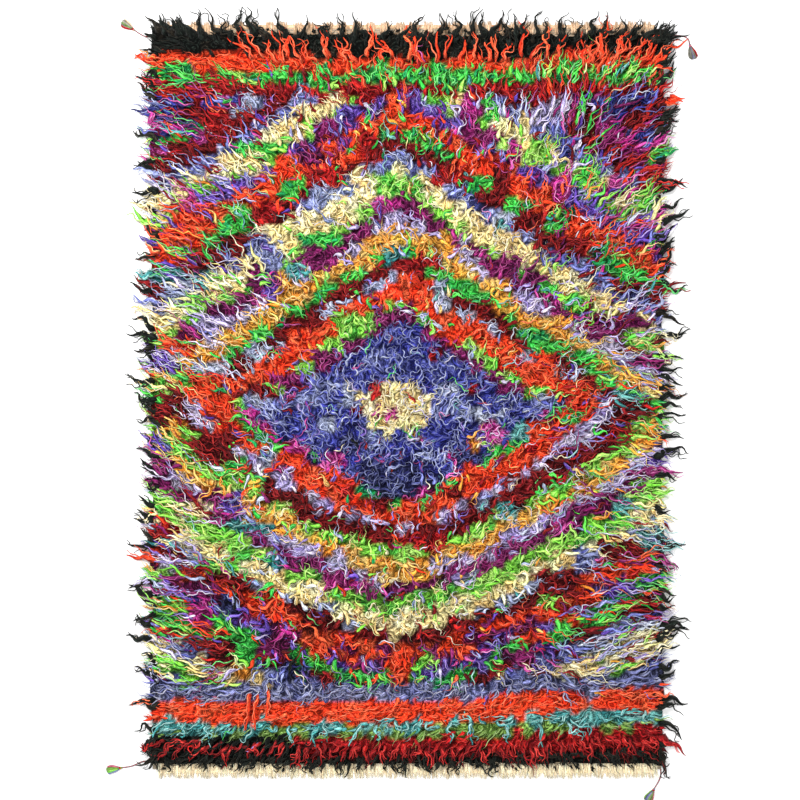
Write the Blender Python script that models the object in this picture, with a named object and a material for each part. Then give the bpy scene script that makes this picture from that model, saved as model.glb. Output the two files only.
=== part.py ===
"""A hand-knotted long-pile wool rug, lying flat on the floor.

Metres, +Z up. The origin is the middle of the flat underside, +Y points to the black-ended top of the
rug and +X to its right. The rug is one knotted field, a lumpy slab of shag with locks round its rim.
A flat-woven band of warp ends closes it at the top and at the bottom, and a twisted cord with a small
tassel is sewn to each corner.
"""

import math

import bmesh
import bpy
from mathutils import Vector, noise

# The knotted field, and the height of its pile.
FIELD_WIDTH = 1.182
FIELD_LENGTH = 1.702
CELL = 0.030
RIM_HEIGHT = 0.017
CROWN_HEIGHT = 0.027
RIM_FALL = 0.07
WALL_SPLIT = 0.46
EDGE_WAVE = 0.003
EDGE_WAVE_LENGTH = 0.23

# The lumps of its surface: tufts lie wider than they are long, over a broad swell.
TUFT_WIDTH = 0.058
TUFT_LENGTH = 0.030
TUFT_RELIEF = 0.0058
SWELL_LENGTH = 0.15
SWELL_RELIEF = 0.0075
RIM_RELIEF = 0.3
GRID_WANDER = 0.30

# A lock grows from one face of the rim and tapers to a point on the floor.
LOCK_STATIONS = (0.3, 0.58, 0.82)
LOCK_WIDTHS = (0.0150, 0.0105, 0.0062)
LOCK_HEIGHTS = (0.0078, 0.0056, 0.0036)
LOCK_TIP_HEIGHT = 0.0012
LOCK_CURL = 0.0080
LOCK_LEAN = 0.19
LOCK_FULLNESS = (0.72, 1.12)
LOCK_REACH = (0.026, 0.063)
TOP_LOCK_REACH = (0.030, 0.060)
BOTTOM_LOCK_REACH = (0.016, 0.038)

# The band of warp ends, its tufts, and the gap that parts it from the field.
BAND_WIDTH = 1.140
BAND_DEPTH = 0.009
BAND_THICKNESS = 0.0032
TOP_FRINGE = 0.011
BOTTOM_FRINGE = 0.020
GAP = 0.0003

# A corner cord of twisted yarn and its tassel.
CORD_DIAMETER = 0.0032
CORD_STEP = 0.006
TASSEL_STRANDS_ACROSS = 4
TASSEL_STRANDS_UP = 2
TASSEL_SECTIONS = (  # distance from the cord, width, height
    (0.0000, 0.0046, 0.0044),
    (0.0035, 0.0092, 0.0080),
    (0.0075, 0.0096, 0.0084),
    (0.0110, 0.0064, 0.0060),
    (0.0155, 0.0108, 0.0072),
)
TASSEL_LENGTH = 0.038
TASSEL_SPREAD = 0.0215
TASSEL_END_HEIGHT = 0.0066
TASSEL_CLEARANCE = 0.021

# Each corner: the points that its cord passes, from the rim to the tassel, which lies straight on from it.
CORNERS = {
    "top_left": ((-0.5913, 0.8330), (-0.6020, 0.8333), (-0.6140, 0.8395), (-0.6260, 0.8475)),
    "top_right": ((0.5913, 0.8340), (0.6080, 0.8345), (0.6300, 0.8355), (0.6460, 0.8280), (0.6495, 0.8160)),
    "bottom_left": ((-0.5913, -0.8330), (-0.6080, -0.8335), (-0.6330, -0.8440), (-0.6550, -0.8475)),
    "bottom_right": ((0.5830, -0.8513), (0.5835, -0.8640), (0.5790, -0.8780), (0.5690, -0.8950)),
}

COLOURS = {
    "shag": (0.36, 0.10, 0.13, 0.95),
    "warp_ends": (0.80, 0.66, 0.50, 0.90),
    "cord": (0.45, 0.16, 0.20, 0.85),
    "tassel": (0.20, 0.38, 0.24, 0.92),
}


def clear_scene():
    for thing in list(bpy.data.objects):
        bpy.data.objects.remove(thing)


def wool(name):
    """A matt wool material of one colour."""
    if name in bpy.data.materials:
        return bpy.data.materials[name]
    red, green, blue, roughness = COLOURS[name]
    material = bpy.data.materials.new(name)
    material.use_nodes = True
    shader = material.node_tree.nodes["Principled BSDF"]
    shader.inputs["Base Color"].default_value = (red, green, blue, 1.0)
    shader.inputs["Roughness"].default_value = roughness
    shader.inputs["Metallic"].default_value = 0.0
    return material


def add_object(name, bm, material_name):
    """Turns the bmesh into one named object with faces that point outwards."""
    bmesh.ops.recalc_face_normals(bm, faces=bm.faces)
    mesh = bpy.data.meshes.new(name)
    bm.to_mesh(mesh)
    bm.free()
    mesh.materials.append(wool(material_name))
    thing = bpy.data.objects.new(name, mesh)
    bpy.context.collection.objects.link(thing)
    return thing


def smooth(value):
    """Eases from 0 to 1 and stays there."""
    value = max(0.0, min(1.0, value))
    return value * value * (3.0 - 2.0 * value)


def mix(first, last, share):
    return first + (last - first) * share


def chance(index, track):
    """A steady number from -1 to 1 for each index, one series for each track."""
    return noise.cell(Vector((index + 0.5, 17.0 * track + 0.5, 0.5)))


def pile_height(x, y):
    """Height of the pile over the floor: low at the rim, lumpy with tufts inside it."""
    inside = min(FIELD_WIDTH / 2 - abs(x), FIELD_LENGTH / 2 - abs(y))
    height = mix(RIM_HEIGHT, CROWN_HEIGHT, smooth(inside / RIM_FALL))
    tuft = noise.cell(Vector((x / TUFT_WIDTH, y / TUFT_LENGTH, 0.3)))
    swell = noise.noise(Vector((x / SWELL_LENGTH, y / SWELL_LENGTH, 7.1)))
    relief = mix(RIM_RELIEF, 1.0, smooth(inside / RIM_FALL))
    return height + relief * (TUFT_RELIEF * tuft + SWELL_RELIEF * swell)


def edge_wave(along, track):
    """How far the selvedge strays from a straight line, and that it doesn't by the corners."""
    from_corner = (FIELD_LENGTH / 2 - abs(along) - 2 * CELL) / (4 * CELL)
    return EDGE_WAVE * smooth(from_corner) * noise.noise(Vector((along / EDGE_WAVE_LENGTH, track, 2.7)))


def field_point(column, row, columns, rows):
    """A grid point of the field seen from above, strayed a little so that the tufts aren't in lines."""
    across = column / columns - 0.5
    along = row / rows - 0.5
    x = across * FIELD_WIDTH
    y = along * FIELD_LENGTH
    if 0 < column < columns and 0 < row < rows:
        x += CELL * GRID_WANDER * noise.noise(Vector((column * 1.7, row * 1.3, 4.2)))
        y += CELL * GRID_WANDER * noise.noise(Vector((column * 1.3, row * 1.9, 9.4)))
    elif 0 < row < rows:
        x += edge_wave(y, 1.0 if column else 2.0)
    return x, y


def grow_lock(bm, face, sections, tip):
    """Extrudes a face along sections of centre, sideways vector, width and height, and closes it at the tip."""
    for centre, sideways, width, height in sections:
        middle = face.calc_center_median()
        corners = [
            (1 if (v.co - middle).dot(sideways) > 0 else -1, 1 if v.co.z > middle.z else -1)
            for v in face.verts
        ]
        face = bmesh.ops.extrude_discrete_faces(bm, faces=[face])["faces"][0]
        for vert, (side, up) in zip(face.verts, corners):
            vert.co = centre + sideways * (side * width / 2) + Vector((0, 0, up * height / 2))
    poked = bmesh.ops.poke(bm, faces=[face])
    poked["verts"][0].co = tip


def floor_under(distance, over_band):
    """Lowest level for a lock: the floor, or the top of the warp ends that it crosses first."""
    if not over_band:
        return 0.0
    clear_of_band = BAND_DEPTH + over_band
    raised = BAND_THICKNESS + 3 * GAP
    return raised * (1.0 - smooth((distance - clear_of_band) / 0.010))


def tassel_line(route):
    """Where a tassel starts, a gap beyond its cord's end, and the direction in which it lies."""
    end = Vector((*route[-1], 0.0))
    ahead = (end - Vector((*route[-2], 0.0))).normalized()
    return end + ahead * GAP, ahead


def near_tassel(point):
    """True where a lock would lie in a corner's cord or tassel."""
    flat = Vector((point.x, point.y, 0.0))
    for route in CORNERS.values():
        start, ahead = tassel_line(route)
        if any((flat - start - ahead * TASSEL_LENGTH * s).length < TASSEL_CLEARANCE for s in (0.1, 0.5, 0.9)):
            return True
        if any((flat.xy - Vector(stop)).length < TASSEL_CLEARANCE / 2 for stop in route):
            return True
    return False


def lock_spine(root, outward, reach, lean, curl, share):
    """Centre of a lock seen from above, as a share of its reach."""
    along = Vector((-outward.y, outward.x, 0.0))
    sideways = lean * reach * share ** 1.4 + curl * math.sin(math.tau * 0.62 * share) * share
    return root + outward * (reach * share) + along * sideways


def rim_lock(bm, face, outward, index, track, lean, reaches, over_band):
    """One lock on a rim face, with its own length, lean and curl."""
    root = face.calc_center_median()
    reach = mix(*reaches, 0.5 + 0.5 * chance(index, track))
    curl = LOCK_CURL * chance(index, track + 1)
    lean += LOCK_LEAN * chance(index, track + 2)
    fullness = mix(*LOCK_FULLNESS, 0.5 + 0.5 * chance(index, track + 40))
    stations = (*LOCK_STATIONS, 1.0)
    while any(near_tassel(lock_spine(root, outward, reach, lean, curl, s)) for s in stations):
        reach *= 0.85
        if reach < 0.02:
            return
    sections = []
    for share, width, height in zip(LOCK_STATIONS, LOCK_WIDTHS, LOCK_HEIGHTS):
        centre = lock_spine(root, outward, reach, lean, curl, share)
        ahead = lock_spine(root, outward, reach, lean, curl, share + 0.05) - centre
        ahead.z = 0.0
        ahead.normalize()
        low = floor_under(reach * share, over_band)
        centre.z = mix(root.z, low + height / 2, smooth(share / 0.5))
        centre.z = max(centre.z, low + height / 2)
        sections.append((centre, Vector((-ahead.y, ahead.x, 0.0)), width * fullness, height))
    tip = lock_spine(root, outward, reach, lean, curl, 1.0)
    tip.z = floor_under(reach, over_band) + LOCK_TIP_HEIGHT
    grow_lock(bm, face, sections, tip)


def lean_at(outward, along_share):
    """Locks fan outwards at the corners and lie nearly straight between them."""
    fan = 0.42 * math.copysign(abs(along_share) ** 3, along_share)
    drift = 0.16 * noise.noise(Vector((along_share * 4.0, outward.x * 3.1, outward.y * 5.3)))
    return fan + drift


def shag_field():
    """The knotted field: one slab with a lumpy top, a flat underside and locks round its rim."""
    columns = round(FIELD_WIDTH / CELL)
    rows = round(FIELD_LENGTH / CELL)
    bm = bmesh.new()
    top = {}
    for column in range(columns + 1):
        for row in range(rows + 1):
            x, y = field_point(column, row, columns, rows)
            top[column, row] = bm.verts.new((x, y, pile_height(x, y)))
    for column in range(columns):
        for row in range(rows):
            bm.faces.new([top[column, row], top[column + 1, row], top[column + 1, row + 1], top[column, row + 1]])

    round_the_rim = (
        [(column, 0) for column in range(columns)]
        + [(columns, row) for row in range(rows)]
        + [(column, rows) for column in range(columns, 0, -1)]
        + [(0, row) for row in range(rows, 0, -1)]
    )
    rim = [top[place] for place in round_the_rim]
    middle = [bm.verts.new((v.co.x, v.co.y, v.co.z * WALL_SPLIT)) for v in rim]
    base = [bm.verts.new((v.co.x, v.co.y, 0.0)) for v in rim]
    bm.faces.new(base)
    lower = []
    upper = []
    for here in range(len(rim)):
        there = (here + 1) % len(rim)
        lower.append(bm.faces.new([base[here], base[there], middle[there], middle[here]]))
        upper.append(bm.faces.new([middle[here], middle[there], rim[there], rim[here]]))

    walls = (  # outward, first wall face, faces, shortest and longest lock, fringe below it, share with a lock
        (Vector((0, -1, 0)), 0, columns, BOTTOM_LOCK_REACH, BOTTOM_FRINGE, 0.6),
        (Vector((1, 0, 0)), columns, rows, LOCK_REACH, 0.0, 1.0),
        (Vector((0, 1, 0)), columns + rows, columns, TOP_LOCK_REACH, TOP_FRINGE, 0.8),
        (Vector((-1, 0, 0)), 2 * columns + rows, rows, LOCK_REACH, 0.0, 1.0),
    )
    for track, (outward, first, count, reaches, over_band, share) in enumerate(walls):
        for index in range(count):
            if 0.5 + 0.5 * chance(index, 20 + track) > share:
                continue
            along_share = 2.0 * (index + 0.5) / count - 1.0
            on_lower = not over_band and index % 2 == 0
            face = (lower if on_lower else upper)[first + index]
            rim_lock(bm, face, outward, index, 3 * track, lean_at(outward, along_share), reaches, over_band)
    return add_object("shag_field", bm, "shag")


def end_band(name, outward, tufts, fringe, track):
    """A flat-woven strip at one end of the field, whose warp ends stand out as short flat tufts."""
    bm = bmesh.new()
    inner = outward.y * (FIELD_LENGTH / 2 + GAP)
    outer = inner + outward.y * BAND_DEPTH
    pitch = BAND_WIDTH / tufts
    rows = []
    for index in range(tufts + 1):
        x = index * pitch - BAND_WIDTH / 2
        corners = ((inner, 0.0), (outer, 0.0), (outer, BAND_THICKNESS), (inner, BAND_THICKNESS))
        rows.append([bm.verts.new((x, y, z)) for y, z in corners])
    bm.faces.new(rows[0])
    bm.faces.new(rows[-1][::-1])
    fronts = []
    for here, there in zip(rows, rows[1:]):
        for side in range(4):
            face = bm.faces.new([here[side], there[side], there[(side + 1) % 4], here[(side + 1) % 4]])
            if side == 1:
                fronts.append(face)
    for index, face in enumerate(fronts):
        root = face.calc_center_median()
        reach = fringe * mix(0.74, 1.0, 0.5 + 0.5 * chance(index, track))
        stray = Vector((0.16 * pitch * chance(index, track + 1), 0, 0))
        centre = root + (outward * reach + stray) * 0.45
        centre.z = BAND_THICKNESS * 0.36
        tip = root + outward * reach + stray
        tip.z = BAND_THICKNESS * 0.25
        grow_lock(bm, face, [(centre, Vector((1, 0, 0)), pitch * 0.7, BAND_THICKNESS * 0.72)], tip)
    return add_object(name, bm, "warp_ends")


def rounded_section(width, height):
    """Grid of points over a section, its corners drawn in so that the outline is nearly oval."""
    points = {}
    for across in range(TASSEL_STRANDS_ACROSS + 1):
        for up in range(TASSEL_STRANDS_UP + 1):
            u = 2.0 * across / TASSEL_STRANDS_ACROSS - 1.0
            v = 2.0 * up / TASSEL_STRANDS_UP - 1.0
            points[across, up] = (
                0.5 * width * u * math.sqrt(1.0 - 0.5 * v * v),
                0.5 * height * v * math.sqrt(1.0 - 0.5 * u * u),
            )
    return points


def tassel(name, start, ahead):
    """A head bound to the cord, with eight strands that part from each other below it."""
    across = Vector((-ahead.y, ahead.x, 0.0))
    bm = bmesh.new()
    rings = []
    for distance, width, height in TASSEL_SECTIONS:
        middle = start + ahead * distance
        middle.z = max(height / 2, CORD_DIAMETER / 2 if distance == 0.0 else 0.0)
        grid = rounded_section(width, height)
        rings.append({
            key: bm.verts.new(middle + across * u + Vector((0, 0, v))) for key, (u, v) in grid.items()
        })
    last_across = TASSEL_STRANDS_ACROSS
    last_up = TASSEL_STRANDS_UP
    outline = (
        [(i, 0) for i in range(last_across)]
        + [(last_across, j) for j in range(last_up)]
        + [(i, last_up) for i in range(last_across, 0, -1)]
        + [(0, j) for j in range(last_up, 0, -1)]
    )
    for here, there in zip(rings, rings[1:]):
        for a, b in zip(outline, outline[1:] + outline[:1]):
            bm.faces.new([here[a], here[b], there[b], there[a]])
    ends = []
    for i in range(last_across):
        for j in range(last_up):
            cell = [(i, j), (i + 1, j), (i + 1, j + 1), (i, j + 1)]
            bm.faces.new([rings[0][key] for key in reversed(cell)])
            ends.append((i, j, bm.faces.new([rings[-1][key] for key in cell])))
    neck = TASSEL_SECTIONS[-1][0]
    for i, j, face in ends:
        fan = (i + 0.5) / last_across * 2.0 - 1.0
        level = (j + 0.5) / last_up
        root = face.calc_center_median()
        strand = TASSEL_SPREAD / last_across
        sections = []
        for share in (0.5, 0.92):
            spread = mix(TASSEL_SECTIONS[-1][1], TASSEL_SPREAD, share) / 2
            centre = root + ahead * ((TASSEL_LENGTH - neck) * share)
            centre += across * (fan * spread - (root - start).dot(across))
            height = TASSEL_END_HEIGHT / last_up * 0.8
            centre.z = mix(root.z, TASSEL_END_HEIGHT * level, share)
            centre.z = max(centre.z, height / 2)
            sections.append((centre, across, strand * mix(0.6, 0.72, share), height))
        tip = sections[-1][0] + ahead * (0.08 * (TASSEL_LENGTH - neck)) - Vector((0, 0, height * 0.2))
        grow_lock(bm, face, sections, tip)
    return add_object(name, bm, "tassel")


def cord(name, route):
    """A tube along a smooth curve through the route, lying on the floor, with a point every two diameters."""
    points = [Vector((x, y, CORD_DIAMETER / 2)) for x, y in route]
    line = []
    padded = [2 * points[0] - points[1], *points, 2 * points[-1] - points[-2]]
    for before, here, there, after in zip(padded, padded[1:], padded[2:], padded[3:]):
        steps = max(1, round((there - here).length / CORD_STEP))
        for step in range(steps):
            t = step / steps
            line.append(0.5 * (
                2 * here
                + (there - before) * t
                + (2 * before - 5 * here + 4 * there - after) * t * t
                + (3 * here - before - 3 * there + after) * t * t * t
            ))
    line.append(points[-1])
    curve = bpy.data.curves.new(name, "CURVE")
    curve.dimensions = "3D"
    curve.bevel_depth = CORD_DIAMETER / 2
    curve.bevel_resolution = 2
    curve.use_fill_caps = True
    spline = curve.splines.new("POLY")
    spline.points.add(len(line) - 1)
    for place, point in zip(spline.points, line):
        place.co = (*point, 1.0)
    curve.materials.append(wool("cord"))
    thing = bpy.data.objects.new(name, curve)
    bpy.context.collection.objects.link(thing)
    return thing


def main():
    clear_scene()
    shag_field()
    end_band("end_band_top", Vector((0, 1, 0)), 34, TOP_FRINGE, 30)
    end_band("end_band_bottom", Vector((0, -1, 0)), 52, BOTTOM_FRINGE, 33)
    for name, route in CORNERS.items():
        cord("cord_" + name, route)
        tassel("tassel_" + name, *tassel_line(route))


main()
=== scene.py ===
"""The looks of a hand-knotted long-pile wool rug that lies flat on a pale studio floor.

Metres, +Z up, in the frame of the part. The pile is made of separate curly strands, knotted in rows, each
in the yarn that the rug's banded lozenge design gives its knot. Places in the design are in photo pixels.
"""

import math

import bpy
import numpy as np
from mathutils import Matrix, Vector, kdtree, noise


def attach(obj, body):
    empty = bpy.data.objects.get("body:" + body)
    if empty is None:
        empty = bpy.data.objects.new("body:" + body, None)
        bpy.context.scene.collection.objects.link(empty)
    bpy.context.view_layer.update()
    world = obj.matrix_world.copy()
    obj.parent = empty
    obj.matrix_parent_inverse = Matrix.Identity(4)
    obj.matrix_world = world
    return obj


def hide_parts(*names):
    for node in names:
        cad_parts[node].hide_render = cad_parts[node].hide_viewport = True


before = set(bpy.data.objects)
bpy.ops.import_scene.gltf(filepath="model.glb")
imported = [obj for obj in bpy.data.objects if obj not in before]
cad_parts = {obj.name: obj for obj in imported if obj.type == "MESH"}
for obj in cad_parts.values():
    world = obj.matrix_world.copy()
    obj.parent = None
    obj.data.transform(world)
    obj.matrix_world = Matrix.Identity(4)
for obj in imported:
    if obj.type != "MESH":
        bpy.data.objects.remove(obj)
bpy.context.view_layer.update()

# The field and its height, as the part has them.
FIELD_WIDTH = 1.182
FIELD_LENGTH = 1.702
RIM_HEIGHT = 0.017
CROWN_HEIGHT = 0.027
RIM_FALL = 0.07
TUFT_WIDTH = 0.058
TUFT_LENGTH = 0.030
TUFT_RELIEF = 0.0058
SWELL_LENGTH = 0.15
SWELL_RELIEF = 0.0075
RIM_RELIEF = 0.3
OVERHANG = 0.040
FLOOR_PILE = 0.0045
HEIGHT_STEP = 0.012

# The end bands and the corner cords, as the part has them.
BAND_WIDTH = 1.140
BAND_DEPTH = 0.009
BAND_THICKNESS = 0.0032
TOP_TUFTS = 34
BOTTOM_TUFTS = 52
TOP_FRINGE = 0.011
BOTTOM_FRINGE = 0.020
FRAY_INSET = 0.014
CORD_DIAMETER = 0.0032
CORD_STEP = 0.006
CORD_FINE_STEP = 0.0009
CORD_SIDES = 12
PLY_TURN = 0.0062
TASSEL_LENGTH = 0.038
TASSEL_SPREAD = 0.0215
TASSEL_END_HEIGHT = 0.0066
CORNERS = {
    "top_left": ((-0.5913, 0.8330), (-0.6020, 0.8333), (-0.6140, 0.8395), (-0.6260, 0.8475)),
    "top_right": ((0.5913, 0.8340), (0.6080, 0.8345), (0.6300, 0.8355), (0.6460, 0.8280), (0.6495, 0.8160)),
    "bottom_left": ((-0.5913, -0.8330), (-0.6080, -0.8335), (-0.6330, -0.8440), (-0.6550, -0.8475)),
    "bottom_right": ((0.5830, -0.8513), (0.5835, -0.8640), (0.5790, -0.8780), (0.5690, -0.8950)),
}

# A photo pixel's size on the rug, and the pixel that shows the rug's middle.
PIXEL = 0.0023
MIDDLE_X = 407
MIDDLE_Y = 399

# The ground weave under the pile.
GROUND_THICKNESS = 0.0026
GROUND_WIDTH = 1.168
GROUND_STEP = 0.020
FOOT_STEP = 0.0095

# Knots are tied in rows. Each holds a few locks of matted wool, with fine curls that run on past their tips.
ROW_PITCH = 0.0265
KNOT_PITCH = 0.0215
LOCKS = 2.10
LOCK_CURLS = 0.60
MEDALLION_CURLS = 1.15
LOCK_FLATNESS = 0.50
WISP_FLATNESS = 0.65
LOCK_POINTS = 9
CURL_POINTS = 14
TUMBLED = 0.30
SIDE_LOCK_PITCH = 0.027
SIDE_LINE = 0.601
TOP_LINE = 0.838
BOTTOM_LINE = 0.840
SELVEDGE_LOCKS = 0.22

# Side locks above this pixel row are short on the left, where the corner's cord lies clear of the pile.
CORD_ROW = 46.0

# Painted highlight: wool fibres that stand out are drawn paler than their yarn by this power of its colour,
# as where light catches them.
HIGHLIGHT_GAMMA = 0.66

# Wool's dull finish, the length of one turn of its twist, and how fine its streaks are.
SHEEN_ROUGHNESS = 0.45
SPECULAR = 0.10
TWIST_LENGTH = 0.019
STREAKS_AROUND = 5.5
STREAKS_ALONG = 48.0
WEFT_COLOUR = (0.42, 0.35, 0.26, 1.0)

# The weave's colours: black from here to its sides, and undyed from here to its ends.
WEAVE_BLACK_FROM = 0.555
WEAVE_PLAIN_FROM = 0.826

# Smooth noise repeats past this many lumps.
NOISE_LUMPS = 97

# Edges that wander: the swing, the size of its lumps and the seed of each wave, in metres along the rim and
# in pixels within the design.
SIDE_WAVES = ((0.0075, 0.052, 31), (0.0045, 0.019, 32))
END_WAVES = ((0.0040, 0.040, 33), (0.0035, 0.015, 34))
ACROSS_WAVES = ((5.0, 38.0, 11), (3.0, 13.0, 12))
DOWN_WAVES = ((4.5, 34.0, 13), (3.0, 12.0, 14))

# The most triangles that one piece of the pile has.
PIECE_TRIANGLES = 190000

# The woven strips' points across and along, and the points of each frayed warp.
BAND_POINTS = (381, 5)
FRAY_POINTS = 5

# The studio: each lamp's place, size and power, the sky's strength, and the camera's height over the floor.
LAMPS = {
    "key": ((-1.6, 1.6, 3.2), 1.1, 175.0),
    "fill": ((1.8, -1.4, 3.6), 2.6, 60.0),
}
SKY_STRENGTH = 0.85
FLOOR_SIZE = 12.0
FLOOR_GREY = 0.92
CAMERA_HEIGHT = 5.2
SENSOR_WIDTH = 36.0
PHOTO_SIZE = 800

TAU = math.tau

# Yarns, as they show: the shades that each is spun from, the most common first, and that of its fine curls.
YARNS = {
    "black": ((0.035, 0.055, 0.042), (0.050, 0.072, 0.058), (0.105, 0.090, 0.065), (0.10, 0.11, 0.09)),
    "red": ((1.00, 0.25, 0.11), (0.98, 0.20, 0.08), (1.00, 0.36, 0.20), (1.00, 0.48, 0.32)),
    "green": ((0.20, 0.74, 0.26), (0.32, 0.84, 0.30), (0.10, 0.58, 0.30), (0.50, 0.93, 0.52)),
    "lime": ((0.50, 0.86, 0.26), (0.66, 0.90, 0.38), (0.34, 0.80, 0.26), (0.82, 0.97, 0.58)),
    "maroon": ((0.42, 0.050, 0.065), (0.31, 0.035, 0.050), (0.54, 0.075, 0.080), (0.68, 0.13, 0.13)),
    "crimson": ((0.64, 0.070, 0.085), (0.54, 0.050, 0.070), (0.80, 0.12, 0.11), (0.90, 0.24, 0.21)),
    "blue": ((0.43, 0.46, 0.74), (0.57, 0.61, 0.82), (0.31, 0.33, 0.62), (0.78, 0.81, 0.92)),
    "royal": ((0.21, 0.23, 0.61), (0.34, 0.37, 0.71), (0.13, 0.14, 0.41), (0.67, 0.70, 0.86)),
    "navy": ((0.15, 0.16, 0.38), (0.23, 0.25, 0.48), (0.10, 0.11, 0.25), (0.48, 0.51, 0.70)),
    "mist": ((0.64, 0.68, 0.82), (0.76, 0.79, 0.88), (0.50, 0.55, 0.74), (0.90, 0.91, 0.95)),
    "lilac": ((0.72, 0.67, 0.88), (0.83, 0.79, 0.91), (0.60, 0.53, 0.80), (0.93, 0.90, 0.94)),
    "plum": ((0.46, 0.09, 0.33), (0.36, 0.06, 0.26), (0.60, 0.15, 0.43), (0.76, 0.34, 0.60)),
    "magenta": ((0.76, 0.18, 0.55), (0.64, 0.12, 0.45), (0.88, 0.34, 0.68), (0.97, 0.60, 0.84)),
    "violet": ((0.38, 0.26, 0.68), (0.30, 0.19, 0.56), (0.50, 0.40, 0.80), (0.70, 0.60, 0.90)),
    "cream": ((1.00, 0.90, 0.62), (1.00, 0.84, 0.52), (1.00, 0.95, 0.76), (1.00, 0.97, 0.84)),
    "orange": ((1.00, 0.68, 0.25), (0.98, 0.58, 0.18), (1.00, 0.78, 0.42), (1.00, 0.88, 0.60)),
    "teal": ((0.26, 0.60, 0.60), (0.42, 0.72, 0.70), (0.17, 0.48, 0.50), (0.66, 0.86, 0.84)),
    "tan": ((0.86, 0.72, 0.58), (0.80, 0.65, 0.50), (0.91, 0.80, 0.68), (0.94, 0.86, 0.76)),
    "ivory": ((0.98, 0.91, 0.76), (0.93, 0.84, 0.68), (1.00, 0.95, 0.84), (1.00, 0.97, 0.90)),
    "moss": ((0.44, 0.60, 0.25), (0.52, 0.66, 0.34), (0.36, 0.52, 0.20), (0.62, 0.74, 0.46)),
    "grey": ((0.50, 0.49, 0.44), (0.40, 0.40, 0.36), (0.62, 0.60, 0.54), (0.74, 0.72, 0.66)),
    "steel": ((0.42, 0.44, 0.64), (0.53, 0.55, 0.71), (0.31, 0.33, 0.53), (0.76, 0.77, 0.85)),
    "rose": ((0.72, 0.36, 0.44), (0.64, 0.28, 0.36), (0.80, 0.48, 0.54), (0.88, 0.66, 0.70)),
}
NAMES = list(YARNS)
CODE = {name: index for index, name in enumerate(NAMES)}

# The lozenges, from the middle outwards, each by its half-height in pixels. They are pointed above the middle
# and rounder below it.
LOZENGE_X = 397
LOZENGE_Y = 407
UPPER_SLOPE = 0.62
LOWER_SLOPE = 0.58
LOWER_ROUNDING = 1.3
UPPER_RINGS = (
    (24, "cream"), (84, "royal"), (96, "plum"), (108, "lime"), (130, "red"), (137, "mist"), (152, "maroon"),
    (165, "green"), (182, "orange"), (192, "lilac"), (209, "plum"), (222, "lime"), (244, "cream"),
    (256, "blue"), (273, "maroon"), (287, "green"), (308, "red"), (325, "violet"), (336, "lime"),
    (356, "cream"), (372, "blue"), (394, "maroon"), (412, "magenta"), (900, "royal"),
)
LOWER_RINGS = (
    (24, "cream"), (86, "royal"), (92, "magenta"), (98, "green"), (114, "red"), (122, "lilac"),
    (142, "maroon"), (153, "lime"), (166, "orange"), (174, "lilac"), (189, "plum"), (208, "lime"),
    (221, "cream"), (227, "mist"), (240, "maroon"), (250, "red"), (262, "plum"), (271, "violet"),
    (284, "green"), (296, "maroon"), (312, "blue"), (329, "cream"), (343, "lime"), (900, "blue"),
)

# Stripes across both ends, by the pixel row where each starts, in the left part and in the rest.
STRIPES = (
    (0, "black", "black"),
    (57, "red", "red"),
    (69, "green", "green"),
    (83, "crimson", "crimson"),
    (97, None, None),
    (684, "steel", "steel"),
    (700, "red", "red"),
    (720, "teal", "teal"),
    (730, "moss", "moss"),
    (735, "black", "crimson"),
    (752, "black", "maroon"),
    (758, "black", "black"),
)
STRIPES_PART = 325

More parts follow.
